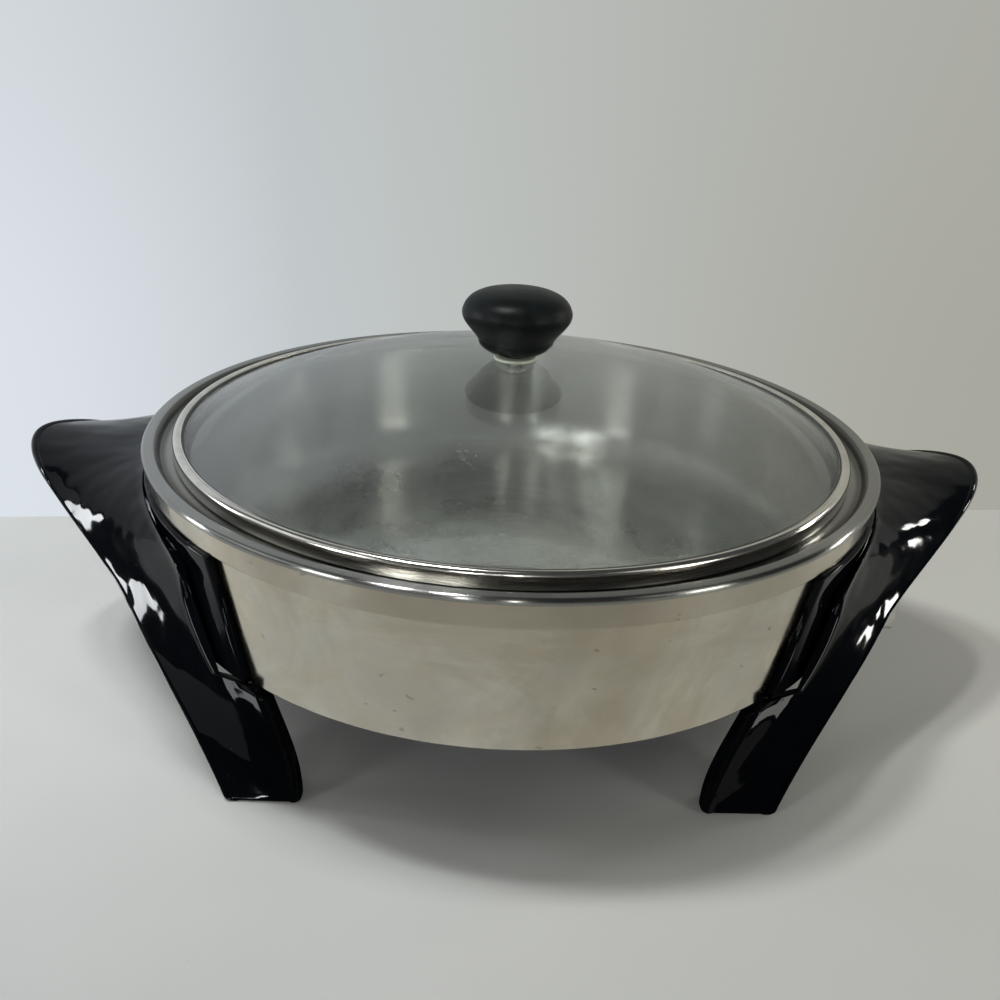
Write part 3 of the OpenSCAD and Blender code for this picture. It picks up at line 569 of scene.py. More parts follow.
def table_paint():
    """The table: matt and mottled, with a painted shadow under the pan and painted shade towards
    the front and the right.
    """
    f = Finish("pale_table")
    table = f.colours.table
    x, y = f.xyz()[:2]
    radius = f.round_z()[0]
    specks = f.ramp(f.noise(60.0, 3.0, 0.7), 0.68, 0.74)
    # Painted shade: the table turns warmer and darker towards the right, away from the lamps on the
    # left
    warm_shade = tuple(c * share for c, share in zip(table, (0.93, 0.91, 0.84)))
    tone = f.mixed(f.ramp(f.noise(7.0, 4.0, 0.6), 0.3, 0.7), table, scaled(table, 0.95))
    tone = f.mixed(f.ramp(x, -0.3, 0.4), tone, warm_shade)
    tone = f.mixed(f.times(specks, 0.10), tone, (0.30, 0.29, 0.26))
    # Painted shadow under the pan and painted shade towards the front: these masks darken the table
    # to 0.3 of its colour
    front, under = f.ramp(y, -0.42, 0.02, 0.60, 0.0), f.ramp(radius, 0.08, 0.20, 1.0, 0.0)
    tone = f.mixed(f.maths("MAXIMUM", front, under), tone, scaled(table, 0.30))
    lit = f.surface(Base_Color=tone, Roughness=0.55, Specular_IOR_Level=0.25)
    far = f.times(f.ramp(radius, 0.5, 1.25), f.ray("Camera"))
    return f.out(f.blended(far, lit, f.glow(AIR)))


def wall_paint():
    """The backdrop's paint. It shows on its front side only, and in gloss only low down and near
    the middle; lamps and the view from behind go through it."""
    f = Finish("pale_backdrop")
    x, y, z = f.xyz()
    off_x, off_y, off_z = (f.maths("SUBTRACT", a, b) for a, b in zip((x, y, z), EYE))
    aside = f.maths("ABSOLUTE", x)
    paint = f.mixed(f.ramp(aside, 0.42, 0.95), backdrop_colour(f, off_x, off_y, off_z), AIR)
    front = f.maths("SUBTRACT", 1.0, f.add("ShaderNodeNewGeometry").outputs["Backfacing"])
    low = f.times(f.ramp(z, 0.40, 0.50, 1.0, 0.0), f.ramp(aside, 0.85, 0.95, 1.0, 0.0))
    mirrored = f.times(f.ray("Glossy"), low)
    direct = f.maths("MAXIMUM", f.ray("Camera"), f.ray("Transmission"))
    seen = f.times(front, f.maths("MAXIMUM", direct, mirrored))
    clear = f.add("ShaderNodeBsdfTransparent").outputs[0]
    return f.out(f.blended(seen, clear, f.glow(paint)))


TABLE_RADIUS = 9.0
BACKDROP_HALF, BACKDROP_TOP, BACKDROP_Y, BACKDROP_TURN = 4, 4, 0.178, math.atan(0.097)


def table_and_backdrop():
    table = bmesh.new()
    bmesh.ops.create_circle(table, cap_ends=True, segments=96, radius=TABLE_RADIUS)
    staged(table, "table_top", table_paint())
    wall = bmesh.new()
    half, top = BACKDROP_HALF, BACKDROP_TOP
    corners = ((-half, 0, 0), (half, 0, 0), (half, 0, top), (-half, 0, top))
    wall.faces.new([wall.verts.new(corner) for corner in corners])
    slant = Matrix.Translation((0, BACKDROP_Y, 0)) @ Matrix.Rotation(BACKDROP_TURN, 4, "Z")
    bmesh.ops.transform(wall, matrix=slant, verts=wall.verts)
    staged(wall, "backdrop", wall_paint())


def studio_air():
    """The air round the stage: pale for the camera, a dim room for gloss and glass, and soft
    light for the rest."""
    world = bpy.data.worlds.new("studio")
    bpy.context.scene.world = world
    f = Finish.of_world(world)
    y, z = f.xyz()[1:]
    behind = f.times(f.ramp(y, 0.0, 0.5), f.ramp(z, 0.35, 0.8, 1.0, 0.25))
    soft = f.mixed(behind, (0.11, 0.113, 0.115), (0.50, 0.52, 0.51))
    gloss = f.maths("MAXIMUM", f.ray("Glossy"), f.ray("Transmission"))
    room = f.mixed(gloss, soft, (0.045, 0.048, 0.05))
    shown = f.mixed(f.ray("Camera"), room, AIR)
    air = f.add("ShaderNodeBackground", {"Color": shown, "Strength": 1.0})
    f.add("ShaderNodeOutputWorld", {"Surface": air.outputs[0]})


# Name, place, aim, width and height in metres, power in watts, tint
LAMPS = (
    ("key_lamp", (-0.42, -0.24, 1.25), (0, 0, 0.05), 0.1, 0.15, 6.4, (0.97, 0.99, 1)),
    ("second_lamp", (-0.21, -0.24, 1.27), (0, 0, 0.05), 0.06, 0.15, 3.6, (0.97, 0.99, 1)),
    ("window", (0.85, -0.8, 0.95), (0, 0, 0.08), 0.4, 0.5, 0.5, (1, 0.98, 0.93)),
    ("left_strip", (-1.34, 0.06, 0.36), (-0.15, -0.085, 0.09), 0.14, 0.24, 4.0, (0.94, 0.98, 1)),
    ("right_strip", (1.36, 0.15, 0.26), (0.15, -0.09, 0.095), 0.1, 0.1, 1.4, (1, 0.99, 0.95)),
    ("right_upper_strip", (1.22, 0.38, 0.6), (0.16, -0.07, 0.108), 0.14, 0.1, 1.8, (1, 0.99, 0.95)),
    ("front_left_strip", (-1.15, -0.96, 0.5), (0.05, 0.13, 0.09), 0.28, 0.4, 6.0, (0.97, 0.99, 1)),
    ("front_thin_strip", (-0.32, -1.47, 0.5), (0.03, 0.14, 0.09), 0.03, 0.4, 1.8, (0.97, 0.99, 1)),
    ("front_middle_strip", (0.02, -1.5, 0.5), (0, 0.14, 0.09), 0.02, 0.4, 1.4, (1, 0.99, 0.96)),
    ("front_right_strip", (1.18, -0.92, 0.5), (-0.1, 0.1, 0.09), 0.28, 0.4, 5.0, (1, 0.99, 0.94)),
    ("left_window", (-1.5, -0.2, 1.1), (0, 0, 0), 1.0, 1.0, 3.0, (0.95, 0.98, 1)),
)


def lamps():
    for name, place, aim, width, height, power, tint in LAMPS:
        data = bpy.data.lights.new(name, "AREA")
        data.shape = "RECTANGLE"
        data.size, data.size_y = width, height
        data.energy, data.color = power, tint
        lamp = bpy.data.objects.new(name, data)
        bpy.context.scene.collection.objects.link(lamp)
        lamp.location = place
        lamp.rotation_euler = (Vector(aim) - Vector(place)).to_track_quat("-Z", "Y").to_euler()


def camera(scene):
    data = bpy.data.cameras.new("camera")
    data.lens = 32.4
    data.sensor_width = 36.0
    data.sensor_fit = "HORIZONTAL"
    data.clip_start = 0.01
    eye = bpy.data.objects.new("camera", data)
    scene.collection.objects.link(eye)
    level = math.cos(PITCH)
    ahead = Vector((math.sin(YAW) * level, math.cos(YAW) * level, -math.sin(PITCH)))
    right = Vector((math.cos(YAW), -math.sin(YAW), 0))
    down = ahead.cross(right)
    turned_right = right * math.cos(ROLL) + down * math.sin(ROLL)
    turned_down = down * math.cos(ROLL) - right * math.sin(ROLL)
    turn = Matrix((turned_right, -turned_down, -ahead)).transposed()
    eye.matrix_world = Matrix.Translation(EYE) @ turn.to_4x4()
    scene.camera = eye


# The pan


def pan_marks(sizes):
    """Radii and heights of the pan, from its sizes."""
    m = {"rim_r": sizes.rim_radius, "rim_z": sizes.rim_height, "base_z": sizes.pan_base}
    m["ledge_z"] = m["rim_z"] - LEDGE_DROP
    m["bead_in_r"] = m["rim_r"] - BEAD_WIDTH
    m["bead_low_z"] = m["rim_z"] - BEAD_THICK
    m["band_r"] = m["rim_r"] - BAND_INSET
    m["band_low_z"] = m["bead_low_z"] - sizes.band_height
    m["wall_top_r"] = m["band_r"] - BAND_STEP
    m["wall_foot_r"] = m["wall_top_r"] - sizes.wall_taper
    m["shell_floor_z"] = m["base_z"] + SHELL_SHEET
    m["floor_z"] = m["shell_floor_z"] + PAN_SHEET
    m["well_r"] = m["rim_r"] - RIM_WIDTH
    return m


def wall_at(m, z):
    """Radius of the outer wall at a height."""
    share = (z - m["base_z"]) / (m["band_low_z"] - m["base_z"])
    return m["wall_foot_r"] + (m["wall_top_r"] - m["wall_foot_r"]) * share


def well_line(m, d):
    """Upper surface of the inner pan from the axis to the rim, moved down and out by d."""
    r, z, low = m["well_r"], m["ledge_z"], m["floor_z"]
    corner = WELL_CORNER
    return (
        [(0.0, low - d)]
        + arc(r - WELL_DRAFT - corner, low + corner, corner + d, -90, 0, 18)
        + [(r + d, z - d - 0.002, 0.0008), (r + d, z - d, 0.0009)]
        + [(r + LEDGE_WIDTH - d * 0.4, z - d, 0.0008)]
        + [(m["bead_in_r"] - 0.0014, z - d + 0.0012, 0.0006)]
    )


class SKILLET_OT_pan(bpy.types.Operator):
    """Add the double-walled pan: the brushed well with its rolled rim, and the polished shell"""

    bl_idname = "skillet.pan"
    bl_label = "Pan"

    def execute(self, context):
        m = pan_marks(context.scene.skillet_sizes)
        rim_r, rim_z, inner, half = m["rim_r"], m["rim_z"], m["bead_in_r"], BEAD_THICK / 2
        bead = (
            [(inner - 0.0004, rim_z - half, 0.0005), (inner + 0.0007, rim_z - 0.0003, 0.0005)]
            + [(inner + 0.002, rim_z)]
            + arc(rim_r - half, rim_z - half, half, 90, -90, 14)
            + [(inner + 0.0012, m["bead_low_z"])]
        )
        outline = well_line(m, 0.0) + bead + well_line(m, PAN_SHEET)[::-1]
        bm = turned(eased(outline, closed=False), PAN_STEPS, closed=False)
        steel = brushed_well("brushed_well_wall", 1.0, 0.22, 0.26, 0.9)
        well = finished(bm, "pan_well", "base", steel, ["inner_pan"])
        # The floor's copy of the well steel is painted over twice as light as the wall's: painted
        # light
        well.data.materials.append(brushed_well("satin_well_floor", 0.0, 0.16, 0.24, 2.0))
        for face in well.data.polygons:
            if abs(face.center.z - m["floor_z"]) < 0.0016:
                face.material_index = 1
        top, foot, base, floor = m["wall_top_r"], m["wall_foot_r"], m["base_z"], m["shell_floor_z"]
        band, seam, sheet = m["band_r"], m["band_low_z"], SHELL_SHEET
        hole = COVER_HIGH.x - COVER_FLANGE - COVER_LAP
        shell = [(band, m["bead_low_z"]), (band, seam + 0.0004, 0.0004)]
        shell += [(band - 0.0004, seam, 0.0002), (top, seam, 0.0003)]
        shell += [(foot + 0.00005, base + 0.0008, 0.0005), (foot - 0.0007, base, 0.0004)]
        shell += [(hole, base), (hole, floor), (foot - 0.0013, floor), (top - sheet, seam + sheet)]
        shell += [(band - sheet, seam + sheet), (band - sheet, m["bead_low_z"])]
        bm = turned(eased(shell), PAN_STEPS)
        finished(bm, "pan_shell", "base", polished_wall(), ["outer_shell"])
        return {"FINISHED"}


# The handle-legs: the shell runs from the front foot over the grip to the rear foot


def bezier(points, t):
    a, b, c, d = points
    return (1 - t) ** 3 * a + 3 * (1 - t) ** 2 * t * b + 3 * (1 - t) * t * t * c + t**3 * d


def eased_step(s, a, b):
    t = min(max((s - a) / (b - a), 0.0), 1.0)
    return t * t * (3 - 2 * t)


def on_level(v):
    return Vector((v.x, v.y, 0))


class HandleCourse:
    """Where the right-hand handle-leg runs: 0 at the front foot, 1 at the knee, 2 at mid grip."""

    # Gaps to the saddle: where they touch, and in the slot under the grip
    touch, slot = 0.00015, 0.0024
    # Curl of the inner edge, hollow of the grip, and depths of the outer edge at grip and leg
    curl, dish, lip_depth, leg_depth = 0.35, 0.0016, 0.0065, 0.015
    leg_wall, edge_round = 0.0045, 0.0024
    # Rounding of the foot and its reach up the leg, and where the sole's solid end stops
    foot_round, foot_round_s, sole_s = 0.003, 0.03, 0.0452
    # Width of the raised strip along the outer edge, and its height
    strip, inset = 0.0036, 0.0005
    # The saddle's outer face from the pan's wall, its lower edge from the pan's base, its upper gap
    saddle_out, saddle_raise, saddle_gap = 0.0033, 0.0016, 0.0003
    foot_width, foot_angle = 0.032, math.radians(53.05)
    knee_in, knee_side, knee_share = 0.065, 0.032, 0.64
    root_drop, shoulder_drop, shoulder_angle = 0.0136, 0.018, math.radians(44)

    def __init__(self, sizes):
        self.m = m = pan_marks(sizes)
        self.base_z = m["base_z"]
        self.saddle_low = self.base_z + self.saddle_raise
        self.saddle_top = m["band_low_z"] - self.saddle_gap
        tip_x, tip_z, foot_y = sizes.grip_reach, sizes.grip_height, sizes.foot_spread
        root_z = sizes.rim_height - self.root_drop
        root_r = wall_at(m, root_z) + self.saddle_out + self.touch
        shoulder_z = root_z - self.shoulder_drop
        shoulder_r = wall_at(m, shoulder_z) + self.saddle_out + self.slot + 0.003
        turn = self.shoulder_angle
        foot_in = Vector((foot_y / math.tan(self.foot_angle), -foot_y, 0))
        foot_out = foot_in + Vector((self.foot_width, 0, 0))
        knee = Vector((tip_x - self.knee_in, -foot_y + self.knee_side, root_z * self.knee_share))
        pull = Vector((0.0155, 0.0185, 0.016))
        shoulder = Vector((shoulder_r * math.cos(turn), -shoulder_r * math.sin(turn), shoulder_z))
        lower_leg = foot_out + (knee - foot_out) / 3 + Vector((0.002, 0.006, 0))
        self.outer_leg = (foot_out, lower_leg, knee - pull, knee)
        tip = Vector((tip_x, 0, tip_z))
        self.outer_grip = (knee, knee + pull, tip - Vector((0, 0.033, 0)), tip)
        self.inner_leg = (
            foot_in,
            foot_in + Vector((0.0095, 0, 0.27 * shoulder_z)),
            shoulder - Vector((0.0085, 0.0095, 0.33 * shoulder_z)),
            shoulder,
        )
        self.inner_grip = (
            Vector((-turn, shoulder_z, shoulder_r)),
            Vector((-turn + math.radians(0.5), shoulder_z + 0.013, shoulder_r)),
            Vector((-turn + math.radians(5), root_z, root_r)),
            Vector((0, root_z, root_r)),
        )
        self.fork_s = self.place_at(self.saddle_low - self.touch)

    def outer_edge(self, s):
        return bezier(self.outer_leg, s) if s <= 1 else bezier(self.outer_grip, s - 1)

    def inner_edge(self, s):
        if s <= 1:
            return bezier(self.inner_leg, s)
        angle, z, r = bezier(self.inner_grip, 1 - (2 - s) ** 1.6)
        return Vector((r * math.cos(angle), r * math.sin(angle), z))

    def place_at(self, z):
        """Where along the leg the inner edge reaches a height."""
        low, high = 0.0, 1.0
        for _ in range(20):
            middle = (low + high) / 2
            if self.inner_edge(middle).z < z:
                low = middle
            else:
                high = middle
        return (low + high) / 2

    def middle(self, s):
        return (self.inner_edge(s) + self.outer_edge(s)) / 2

    def along(self, s):
        if s > 1.98:
            return Vector((0, 1, 0))
        v = self.middle(min(s + 0.01, 2)) - self.middle(max(s - 0.01, 0))
        k = eased_step(s, 0, 0.25)
        return Vector((v.x * k, v.y * k, v.z)).normalized()

    def across(self, s):
        return (self.outer_edge(s) - self.inner_edge(s)).normalized()

    def facing(self, s):
        return self.across(s).cross(self.along(s)).normalized()

    def toe(self, s):
        return 0.0 if s > self.fork_s else 0.022 * s + 0.002 * s * s

    def section(self, s):
        """Section of the shell: (distance from the inner edge, depth) points, all the way round."""
        width = (self.outer_edge(s) - self.inner_edge(s)).length
        hollow = self.dish * eased_step(s, 0.5, 1.6)
        plate = self.leg_depth - 0.0016 if s < self.sole_s else self.leg_wall
        lip = self.leg_depth + (self.lip_depth - self.leg_depth) * eased_step(s, 0.25, 1.1)
        back = max(plate + 0.0005, lip)
        tuck = 0.0
        if s < self.foot_round_s:
            tuck = self.foot_round * (1 - math.sqrt(1 - (1 - s / self.foot_round_s) ** 2))
        start, end, wall = tuck - self.toe(s), width - tuck, self.leg_wall
        inner, outer = 0.0024 * (1 - eased_step(s, 1, 1.2)) + 0.0004, self.edge_round
        points = [(start, wall + 0.0012)]
        for a in quarter(6):
            points.append((start + inner - inner * math.cos(a), tuck + inner - inner * math.sin(a)))
        first, line = start + inner, end - self.strip
        stations = [first + (line - 0.0007 - first) * k / 20 for k in range(1, 21)]
        stations += [line - 0.0004, line - 0.0001, line + 0.0002, line + 0.0005]
        for u in stations:
            inset = self.inset * eased_step(end - u, self.strip - 0.0003, self.strip + 0.0004)
            points.append((u, tuck + inset + hollow * max(0.0, 1 - (2 * u / width - 1) ** 2)))
        for a in quarter(7):
            drop = (outer + 0.0004) * (1 - math.cos(a))
            points.append((end - outer + outer * math.sin(a), tuck + drop))
        points += [(end, back - 0.001), (end - 0.0003, back - 0.0003), (end - 0.001, back)]
        points += [(end - wall + 0.0008, back), (end - wall + 0.0002, back - 0.0002)]
        points += [(end - wall, back - 0.0008), (end - wall - 0.0002, plate + 0.0004)]
        points.append((end - wall - 0.0012, plate))
        under = plate + hollow * 0.3
        points += [(start + wall + 0.0012, under), (start + wall + 0.0002, under + 0.0003)]
        points.append((start + wall, under + 0.0005))
        return points

    def spot(self, s, q):
        """A point of the section in space; past the inner edge it curls down towards the pan."""
        along_it, depth = q
        if along_it < 0:
            return (
                self.inner_edge(s)
                + on_level(self.across(s)) * along_it
                - on_level(self.facing(s)) * (depth - self.curl * along_it)
            )
        return self.inner_edge(s) + self.across(s) * along_it - self.facing(s) * depth

    def nearest(self, s, z, q):
        """How near to the pan's axis a point may come."""
        wall = wall_at(self.m, z)
        clear = wall + self.saddle_out + self.touch
        if s > self.fork_s:
            return clear + self.slot * (1 - eased_step(s, 1, 1.25))
        if z > self.saddle_low - self.touch:
            return clear
        if q[1] < self.leg_wall - 0.001:
            under = self.base_z - 0.016
            if z < under:
                return 0.0
            step = 0.012 * (1 - eased_step(z, under, self.base_z + 0.001))
            return self.m["wall_foot_r"] + self.saddle_out - step
        return wall + 0.0003 if z > self.base_z - 0.0007 else 0.0

    def ring(self, s):
        """The section at s in space, held off the pan and its saddle."""
        places = []
        for q in self.section(s):
            p = self.spot(s, q)
            flat = math.hypot(p.x, p.y)
            grow = max(flat, self.nearest(s, p.z, q)) / flat
            places.append(Vector((p.x * grow, p.y * grow, p.z)))
        return places

    def stops(self):
        """The places along the path at which the shell gets a section."""
        low = self.place_at(self.base_z - 0.0009)
        steps = [0.0, 0.002, 0.004, 0.008, 0.012, 0.018, 0.024, 0.03, 0.045, 0.0455]
        steps += [i / 60 for i in range(4, 60) if i / 60 < low - 0.008]
        steps += [self.place_at(self.base_z - 0.004), low, self.place_at(self.base_z - 0.0005)]
        steps += [self.fork_s + beyond for beyond in (0.0, 0.002, 0.01, 0.02)]
        steps += [i / 60 for i in range(4, 61) if i / 60 > self.fork_s + 0.03]
        steps += [1 + i / 44 for i in range(1, 45)]
        return sorted(set(steps))


def quarter(steps):
    return [math.pi / 2 * i / steps for i in range(steps + 1)]


def leg_shell(course):
    """The shell of the right-hand handle-leg, bridged from section to section and mirrored."""
    bm = bmesh.new()
    rings = []
    for s in course.stops():
        verts = [bm.verts.new(p) for p in course.ring(s)]
        rings.append(linked(bm, verts))
    foot = bmesh.ops.contextual_create(bm, geom=rings[0])
    for first, second in zip(rings, rings[1:]):
        bmesh.ops.bridge_loops(bm, edges=first + second)
    cut_off(bm, (0, 0, 0), (0, 1, 0))
    bmesh.ops.mirror(bm, geom=bm.verts[:] + bm.edges[:] + bm.faces[:], axis="Y", merge_dist=2e-5)
    bmesh.ops.remove_doubles(bm, verts=bm.verts, dist=2e-6)
    bmesh.ops.triangulate(bm, faces=[f for f in foot["faces"] if f.is_valid])
    return bm


# Angles of the saddle: to each side before its ends are cut, at the cut, and the cut's slant
SADDLE_SPREAD, SADDLE_END, SADDLE_SLANT = math.radians(51.5), math.radians(48), math.radians(3.5)
SADDLE_THICK, SADDLE_FIT = 0.003, 0.0003


def outside(m, vert):
    """Whether a point of the saddle lies on its outer half."""
    return math.hypot(vert.co.x, vert.co.y) > wall_at(m, vert.co.z) + 0.0018


def saddle_strip(course):
    """The curved strip that hugs the pan, with rounded edges and ends cut on a slant."""
    m = course.m
    low, top = course.saddle_low, course.saddle_top
    inner_low, inner_top = wall_at(m, low) + SADDLE_FIT, wall_at(m, top) + SADDLE_FIT
    outline = [(inner_low, low, 0.0004), (inner_top, top, 0.0004)]
    outline += [(inner_top + SADDLE_THICK, top, 0.0012), (inner_low + SADDLE_THICK, low, 0.0010)]
    bm = bmesh.new()
    verts = [bm.verts.new((r, 0, z)) for r, z in eased(outline)]
    line = verts + linked(bm, verts)
    start = Matrix.Rotation(-SADDLE_SPREAD, 3, "Z")
    bmesh.ops.rotate(bm, verts=verts, cent=(0, 0, 0), matrix=start)
    spun(bm, line, 2 * SADDLE_SPREAD, 96)
    lean = math.atan(m["wall_top_r"] * SADDLE_SLANT / (top - low))
    for side in (-1, 1):
        turn = Matrix.Rotation(side * SADDLE_END, 3, "Z")
        at = turn @ Vector((m["wall_top_r"], 0, top + 0.001))
        normal = turn @ Vector((0, side * math.cos(lean), math.sin(lean)))
        cap = bmesh.ops.contextual_create(bm, geom=cut_off(bm, at, normal))["faces"]
        bmesh.ops.bevel(
            bm,
            geom=[e for face in cap for e in face.edges if all(outside(m, v) for v in e.verts)],
            offset=0.0021,
            offset_type="OFFSET",
            segments=6,
            profile=0.5,
            affect="EDGES",
            material=-1,
        )
    bmesh.ops.recalc_face_normals(bm, faces=bm.faces)
    return bm


def joined_shells(first, second):
    """Puts the second bmesh into the first as a separate shell."""
    spare = bpy.data.meshes.new("spare")
    second.to_mesh(spare)
    second.free()
    first.from_mesh(spare)
    bpy.data.meshes.remove(spare)
    return first


class SKILLET_OT_handles(bpy.types.Operator):
    """Add the two moulded handle-legs, each with the saddle that hugs the pan"""

    bl_idname = "skillet.handles"
    bl_label = "Handle-legs"

    def execute(self, context):
        finish = gloss_moulding()
        for side, name in ((1, "right"), (-1, "left")):
            course = HandleCourse(context.scene.skillet_sizes)
            shell = leg_shell(course)
            bmesh.ops.recalc_face_normals(shell, faces=shell.faces)
            both = joined_shells(shell, saddle_strip(course))
            if side < 0:
                bmesh.ops.scale(both, vec=(-1, 1, 1), verts=both.verts)
                bmesh.ops.reverse_faces(both, faces=both.faces)
            nodes = ["handle_leg_" + name, "handle_saddle_" + name]
            finished(both, "handle_" + name, "base", finish, nodes, sharp=38)
        return {"FINISHED"}


# The lid

# Fixed measures of the lid, in metres
RING_GAP, RING_HEIGHT, RING_WIDTH, RING_SHEET = 0.0003, 0.007, 0.0066, 0.0008
GLASS_THICK, GLASS_DROP, GLASS_HOLE = 0.004, 0.0017, 0.004
SKIRT_GAP, SKIRT_DEPTH = 0.0012, 0.0035
DOME_POWER = 2.1


def lid_marks(sizes):
    """Radii and heights of the lid, from its sizes and the pan's."""
    m = pan_marks(sizes)
    m["ring_r"], m["ring_low_z"] = sizes.ring_radius, m["ledge_z"] + RING_GAP
    m["ring_top_z"] = m["ring_low_z"] + RING_HEIGHT
    m["ring_in_r"] = m["ring_r"] - RING_WIDTH
    m["glass_z"] = m["ring_top_z"] - GLASS_DROP
    m["skirt_r"] = m["well_r"] - SKIRT_GAP
    m["dome_top_z"] = m["ring_top_z"] + sizes.dome_height
    return m


def glass_line(m, d, steps=56):
    """The glass from the hole in its middle to its rim, at depth d under its upper face."""
    hole, edge, low = GLASS_HOLE, m["ring_r"] - 0.0048, m["glass_z"] + 0.0003
    rise = m["dome_top_z"] - low
    line = []
    for i in range(steps + 1):
        r = hole + (edge - hole) * i / steps
        slope = rise * DOME_POWER / edge * (r / edge) ** (DOME_POWER - 1)
        level = math.sqrt(1 + slope * slope)
        height = low + rise * (1 - (r / edge) ** DOME_POWER)
        line.append((r - d * slope / level, height - d / level))
    return line + [(m["ring_r"] - 0.0019, m["glass_z"] - d)]


class SKILLET_OT_lid(bpy.types.Operator):
    """Add the lid: domed glass, its dark seal and its steel ring"""

    bl_idname = "skillet.lid"
    bl_label = "Lid"

    def execute(self, context):
        m = lid_marks(context.scene.skillet_sizes)
        ring, top, low = m["ring_r"], m["ring_top_z"], m["ring_low_z"]
        inner, glass, thick, wall = m["ring_in_r"], m["glass_z"], GLASS_THICK, RING_SHEET
        shelf = glass - thick - 0.0009
        dome = turned(glass_line(m, 0.0) + glass_line(m, thick)[::-1], GLASS_STEPS)
        finished(dome, "lid_dome", "lid", clear_glass(), ["lid_glass"], sharp=60)
        outer, seat, under = ring - wall - 0.0001, shelf + 0.0001, glass - thick - 0.0001
        seal = [(ring - 0.0047, glass + 0.0002), (ring - 0.0046, top - 0.0009, 0.0003)]
        seal += [(ring - 0.0040, top - 0.0007, 0.0002), (ring - 0.0040, top - 0.0009)]
        seal += [(outer, top - 0.0009), (outer, seat), (inner + 0.0014, seat)]
        seal += [(inner + 0.0014, under), (ring - 0.0018, under), (ring - 0.0018, glass + 0.0001)]
        rubber = soft_matter("lid_seal_rubber", (0.035, 0.034, 0.032), 0.5, bump=0.1)
        bm = turned(eased(seal), GLASS_STEPS)
        finished(bm, "lid_seal", "lid", rubber, ["lid_gasket"])
        skirt, foot = m["skirt_r"], low - SKIRT_DEPTH
        skirt_in = skirt - wall - 0.0006
        outline = (
            [(ring - 0.0039, top - 0.0008), (ring - 0.0038, top - 0.0005)]
            + arc(ring - 0.0019, top - 0.0019, 0.0019, 140, 0, 12)
            + [(ring, low + 0.0006, 0.0004), (ring - 0.0006, low, 0.0004), (skirt, low, 0.0002)]
            + [(skirt, foot, 0.0005), (skirt_in, foot, 0.0004), (skirt_in, shelf)]
            + [(ring - wall, shelf), (ring - wall, top - 0.0008)]
        )
        bm = turned(eased(outline), PAN_STEPS)
        finished(bm, "lid_band", "lid", ring_steel(), ["lid_ring"])
        return {"FINISHED"}


# The knob

# Its outline as shares of its radius and of its height above the skirt's foot
KNOB_OUTLINE = (
    (0.575, 0.055), (0.655, 0.115), (0.685, 0.165), (0.70, 0.215), (0.775, 0.30), (0.885, 0.41),
    (0.96, 0.50), (0.99, 0.56), (1.0, 0.62), (0.985, 0.68), (0.93, 0.775), (0.82, 0.865),
    (0.64, 0.935), (0.4, 0.98), (0.2, 0.996), (0.0, 1.0),
)
# Radii and depth of its bore and neck, the collar's height and the skirt's foot above it
KNOB_BORE, KNOB_BORE_DEPTH, KNOB_NECK = 0.0041, 0.012, 0.0064
COLLAR_HEIGHT, SKIRT_LIFT = 0.0014, 0.0018
# Finger notches: how many, where, how deep, how far the edge lifts and how high they reach
NOTCHES, NOTCH_TURN, NOTCH_DEPTH, NOTCH_LIFT, NOTCH_REACH = 4, 0.35, 0.0012, 0.0007, 0.006


class SKILLET_OT_knob(bpy.types.Operator):
    """Add the knob and the finishes of the parts that hold it"""

    bl_idname = "skillet.knob"
    bl_label = "Knob"

    def execute(self, context):
        sizes = context.scene.skillet_sizes
        radius, dome_top, top = sizes.knob_radius, lid_marks(sizes)["dome_top_z"], KNOB_HIGH.z
        low = dome_top + COLLAR_HEIGHT
        skirt = low + SKIRT_LIFT
        bowl = smoothed([(radius * a, skirt + b * (top - skirt)) for a, b in KNOB_OUTLINE])
        under = [(KNOB_BORE, low + KNOB_BORE_DEPTH), (KNOB_BORE, low), (KNOB_NECK, low, 0.0003)]
        under += [(KNOB_NECK, skirt + 0.0026, 0.0012), (radius * 0.36, skirt + 0.0022, 0.001)]
        under += [(radius * 0.41, skirt + 0.0001, 0.0008), (radius * 0.47, skirt + 0.0001, 0.001)]
        outline = [(0.0, low + KNOB_BORE_DEPTH)] + eased(under, closed=False) + bowl
        bm = turned(outline, KNOB_STEPS, closed=False)
        scallops(bm, radius, skirt)
        finished(bm, "knob_moulding", "lid", satin_knob(), ["knob"], sharp=50)
        give("knob_insert", plain_metal("insert_brass", (0.78, 0.60, 0.30), 0.3))
        collar = [(0.0036, dome_top + 0.00005), (0.0098, dome_top - 0.00004, 0.0003)]
        collar += [(0.0094, low - 0.0002, 0.0004), (0.0066, low - 0.00004, 0.0003)]
        collar.append((0.0036, low - 0.00004))
        pale = soft_matter("washer_seal", (0.44, 0.47, 0.37), 0.3, bump=0.05)
        bm = turned(eased(collar), COLLAR_STEPS)
        finished(bm, "knob_collar", "lid", pale, ["knob_washer"])
        give("under_washer", soft_matter("under_washer_seal", (0.10, 0.10, 0.10), 0.6))
        give("knob_screw", plain_metal("screw_steel", (0.62, 0.61, 0.58), 0.3))
        return {"FINISHED"}


def scallops(bm, radius, skirt):
    """Shallow finger notches in the edge of the knob's skirt."""
    for vert in bm.verts:
        x, y, z = vert.co
        out = math.hypot(x, y)
        if out < radius * 0.45 or z > skirt + NOTCH_REACH:
            continue
        turn = math.cos(NOTCHES * (math.atan2(y, x) + NOTCH_TURN))
        share = max(0.0, turn - 0.72) / 0.28
        share *= 1 - eased_step(z, skirt + 0.001, skirt + NOTCH_REACH)
        vert.co.x -= x / out * NOTCH_DEPTH * share
        vert.co.y -= y / out * NOTCH_DEPTH * share
        vert.co.z += NOTCH_LIFT * share


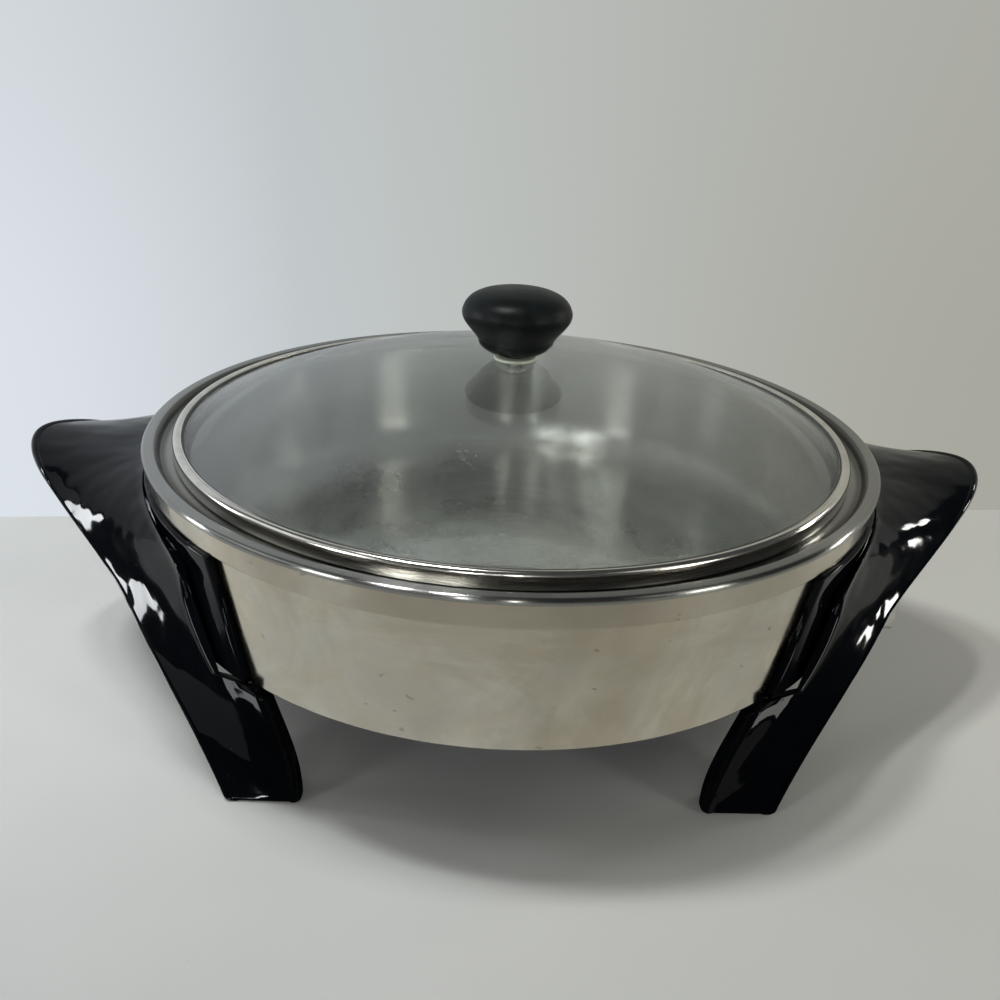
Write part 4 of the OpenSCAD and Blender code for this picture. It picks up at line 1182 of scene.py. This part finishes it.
def give(node, material):
    """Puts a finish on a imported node."""
    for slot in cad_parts[node].material_slots:
        slot.material = material


# Plain metal parts: node, finish, colour and roughness
WORKS = (
    ("element_clamps", "zinc_clamp", (0.60, 0.60, 0.57), 0.4),
    ("cover_screws", "cover_screw_zinc", (0.66, 0.65, 0.60), 0.32),
    ("terminal_pin_front", "pin_nickel", (0.72, 0.69, 0.62), 0.22),
    ("terminal_pin_rear", "pin_nickel_rear", (0.72, 0.69, 0.62), 0.22),
    ("probe_tube", "probe_copper", (0.70, 0.50, 0.36), 0.3),
    ("guard_rivets", "rivet_steel", (0.66, 0.65, 0.62), 0.3),
    ("handle_studs_left", "stud_steel_left", (0.62, 0.61, 0.58), 0.35),
    ("handle_nuts_left", "nut_plate_left", (0.72, 0.70, 0.66), 0.25),
    ("handle_studs_right", "stud_steel_right", (0.62, 0.61, 0.58), 0.35),
    ("handle_nuts_right", "nut_plate_right", (0.72, 0.70, 0.66), 0.25),
)


class SKILLET_OT_works(bpy.types.Operator):
    """Finish the heating parts, the base cover, the socket and the fixings"""

    bl_idname = "skillet.works"
    bl_label = "Heating and socket"

    def execute(self, context):
        for node, finish, colour, rough in WORKS:
            give(node, plain_metal(finish, colour, rough))
        cast = plain_metal("cast_aluminium", (0.62, 0.62, 0.61), 0.45, 140.0, bump=0.4)
        soot = (0.10, 0.06, 0.04)
        sooty = plain_metal("element_sheath", (0.26, 0.22, 0.19), 0.45, 90.0, soot, 0.6)
        give("heat_plate", cast)
        give("heating_element", sooty)
        give("base_cover", plain_metal("cover_sheet", (0.60, 0.60, 0.58), 0.34, 260.0))
        give("terminal_guard", plain_metal("guard_sheet", (0.62, 0.61, 0.58), 0.28, 240.0))
        give("terminal_block", soft_matter("block_ceramic", (0.72, 0.68, 0.58), 0.55))
        return {"FINISHED"}


class SKILLET_PT_panel(bpy.types.Panel):
    bl_label = "Electric Skillet"
    bl_idname = "SKILLET_PT_panel"
    bl_space_type = "VIEW_3D"
    bl_region_type = "UI"
    bl_category = "Skillet"

    def draw(self, context):
        layout = self.layout
        for name in SkilletSizes.__annotations__:
            layout.prop(context.scene.skillet_sizes, name)
        for name in SkilletColours.__annotations__:
            layout.prop(context.scene.skillet_colours, name)
        for step in STEPS:
            layout.operator(step.bl_idname)


STEPS = (
    SKILLET_OT_stage,
    SKILLET_OT_pan,
    SKILLET_OT_handles,
    SKILLET_OT_lid,
    SKILLET_OT_knob,
    SKILLET_OT_works,
)
CLASSES = (SkilletSizes, SkilletColours, *STEPS, SKILLET_PT_panel)


def register():
    for item in CLASSES:
        bpy.utils.register_class(item)
    bpy.types.Scene.skillet_sizes = PointerProperty(type=SkilletSizes)
    bpy.types.Scene.skillet_colours = PointerProperty(type=SkilletColours)


def unregister():
    del bpy.types.Scene.skillet_colours
    del bpy.types.Scene.skillet_sizes
    for item in reversed(CLASSES):
        bpy.utils.unregister_class(item)


def main():
    register()
    bpy.context.scene.view_settings.view_transform = "Standard"
    bpy.ops.skillet.stage()
    bpy.ops.skillet.pan()
    bpy.ops.skillet.handles()
    bpy.ops.skillet.lid()
    bpy.ops.skillet.knob()
    bpy.ops.skillet.works()


if __name__ == "__main__":
    main()
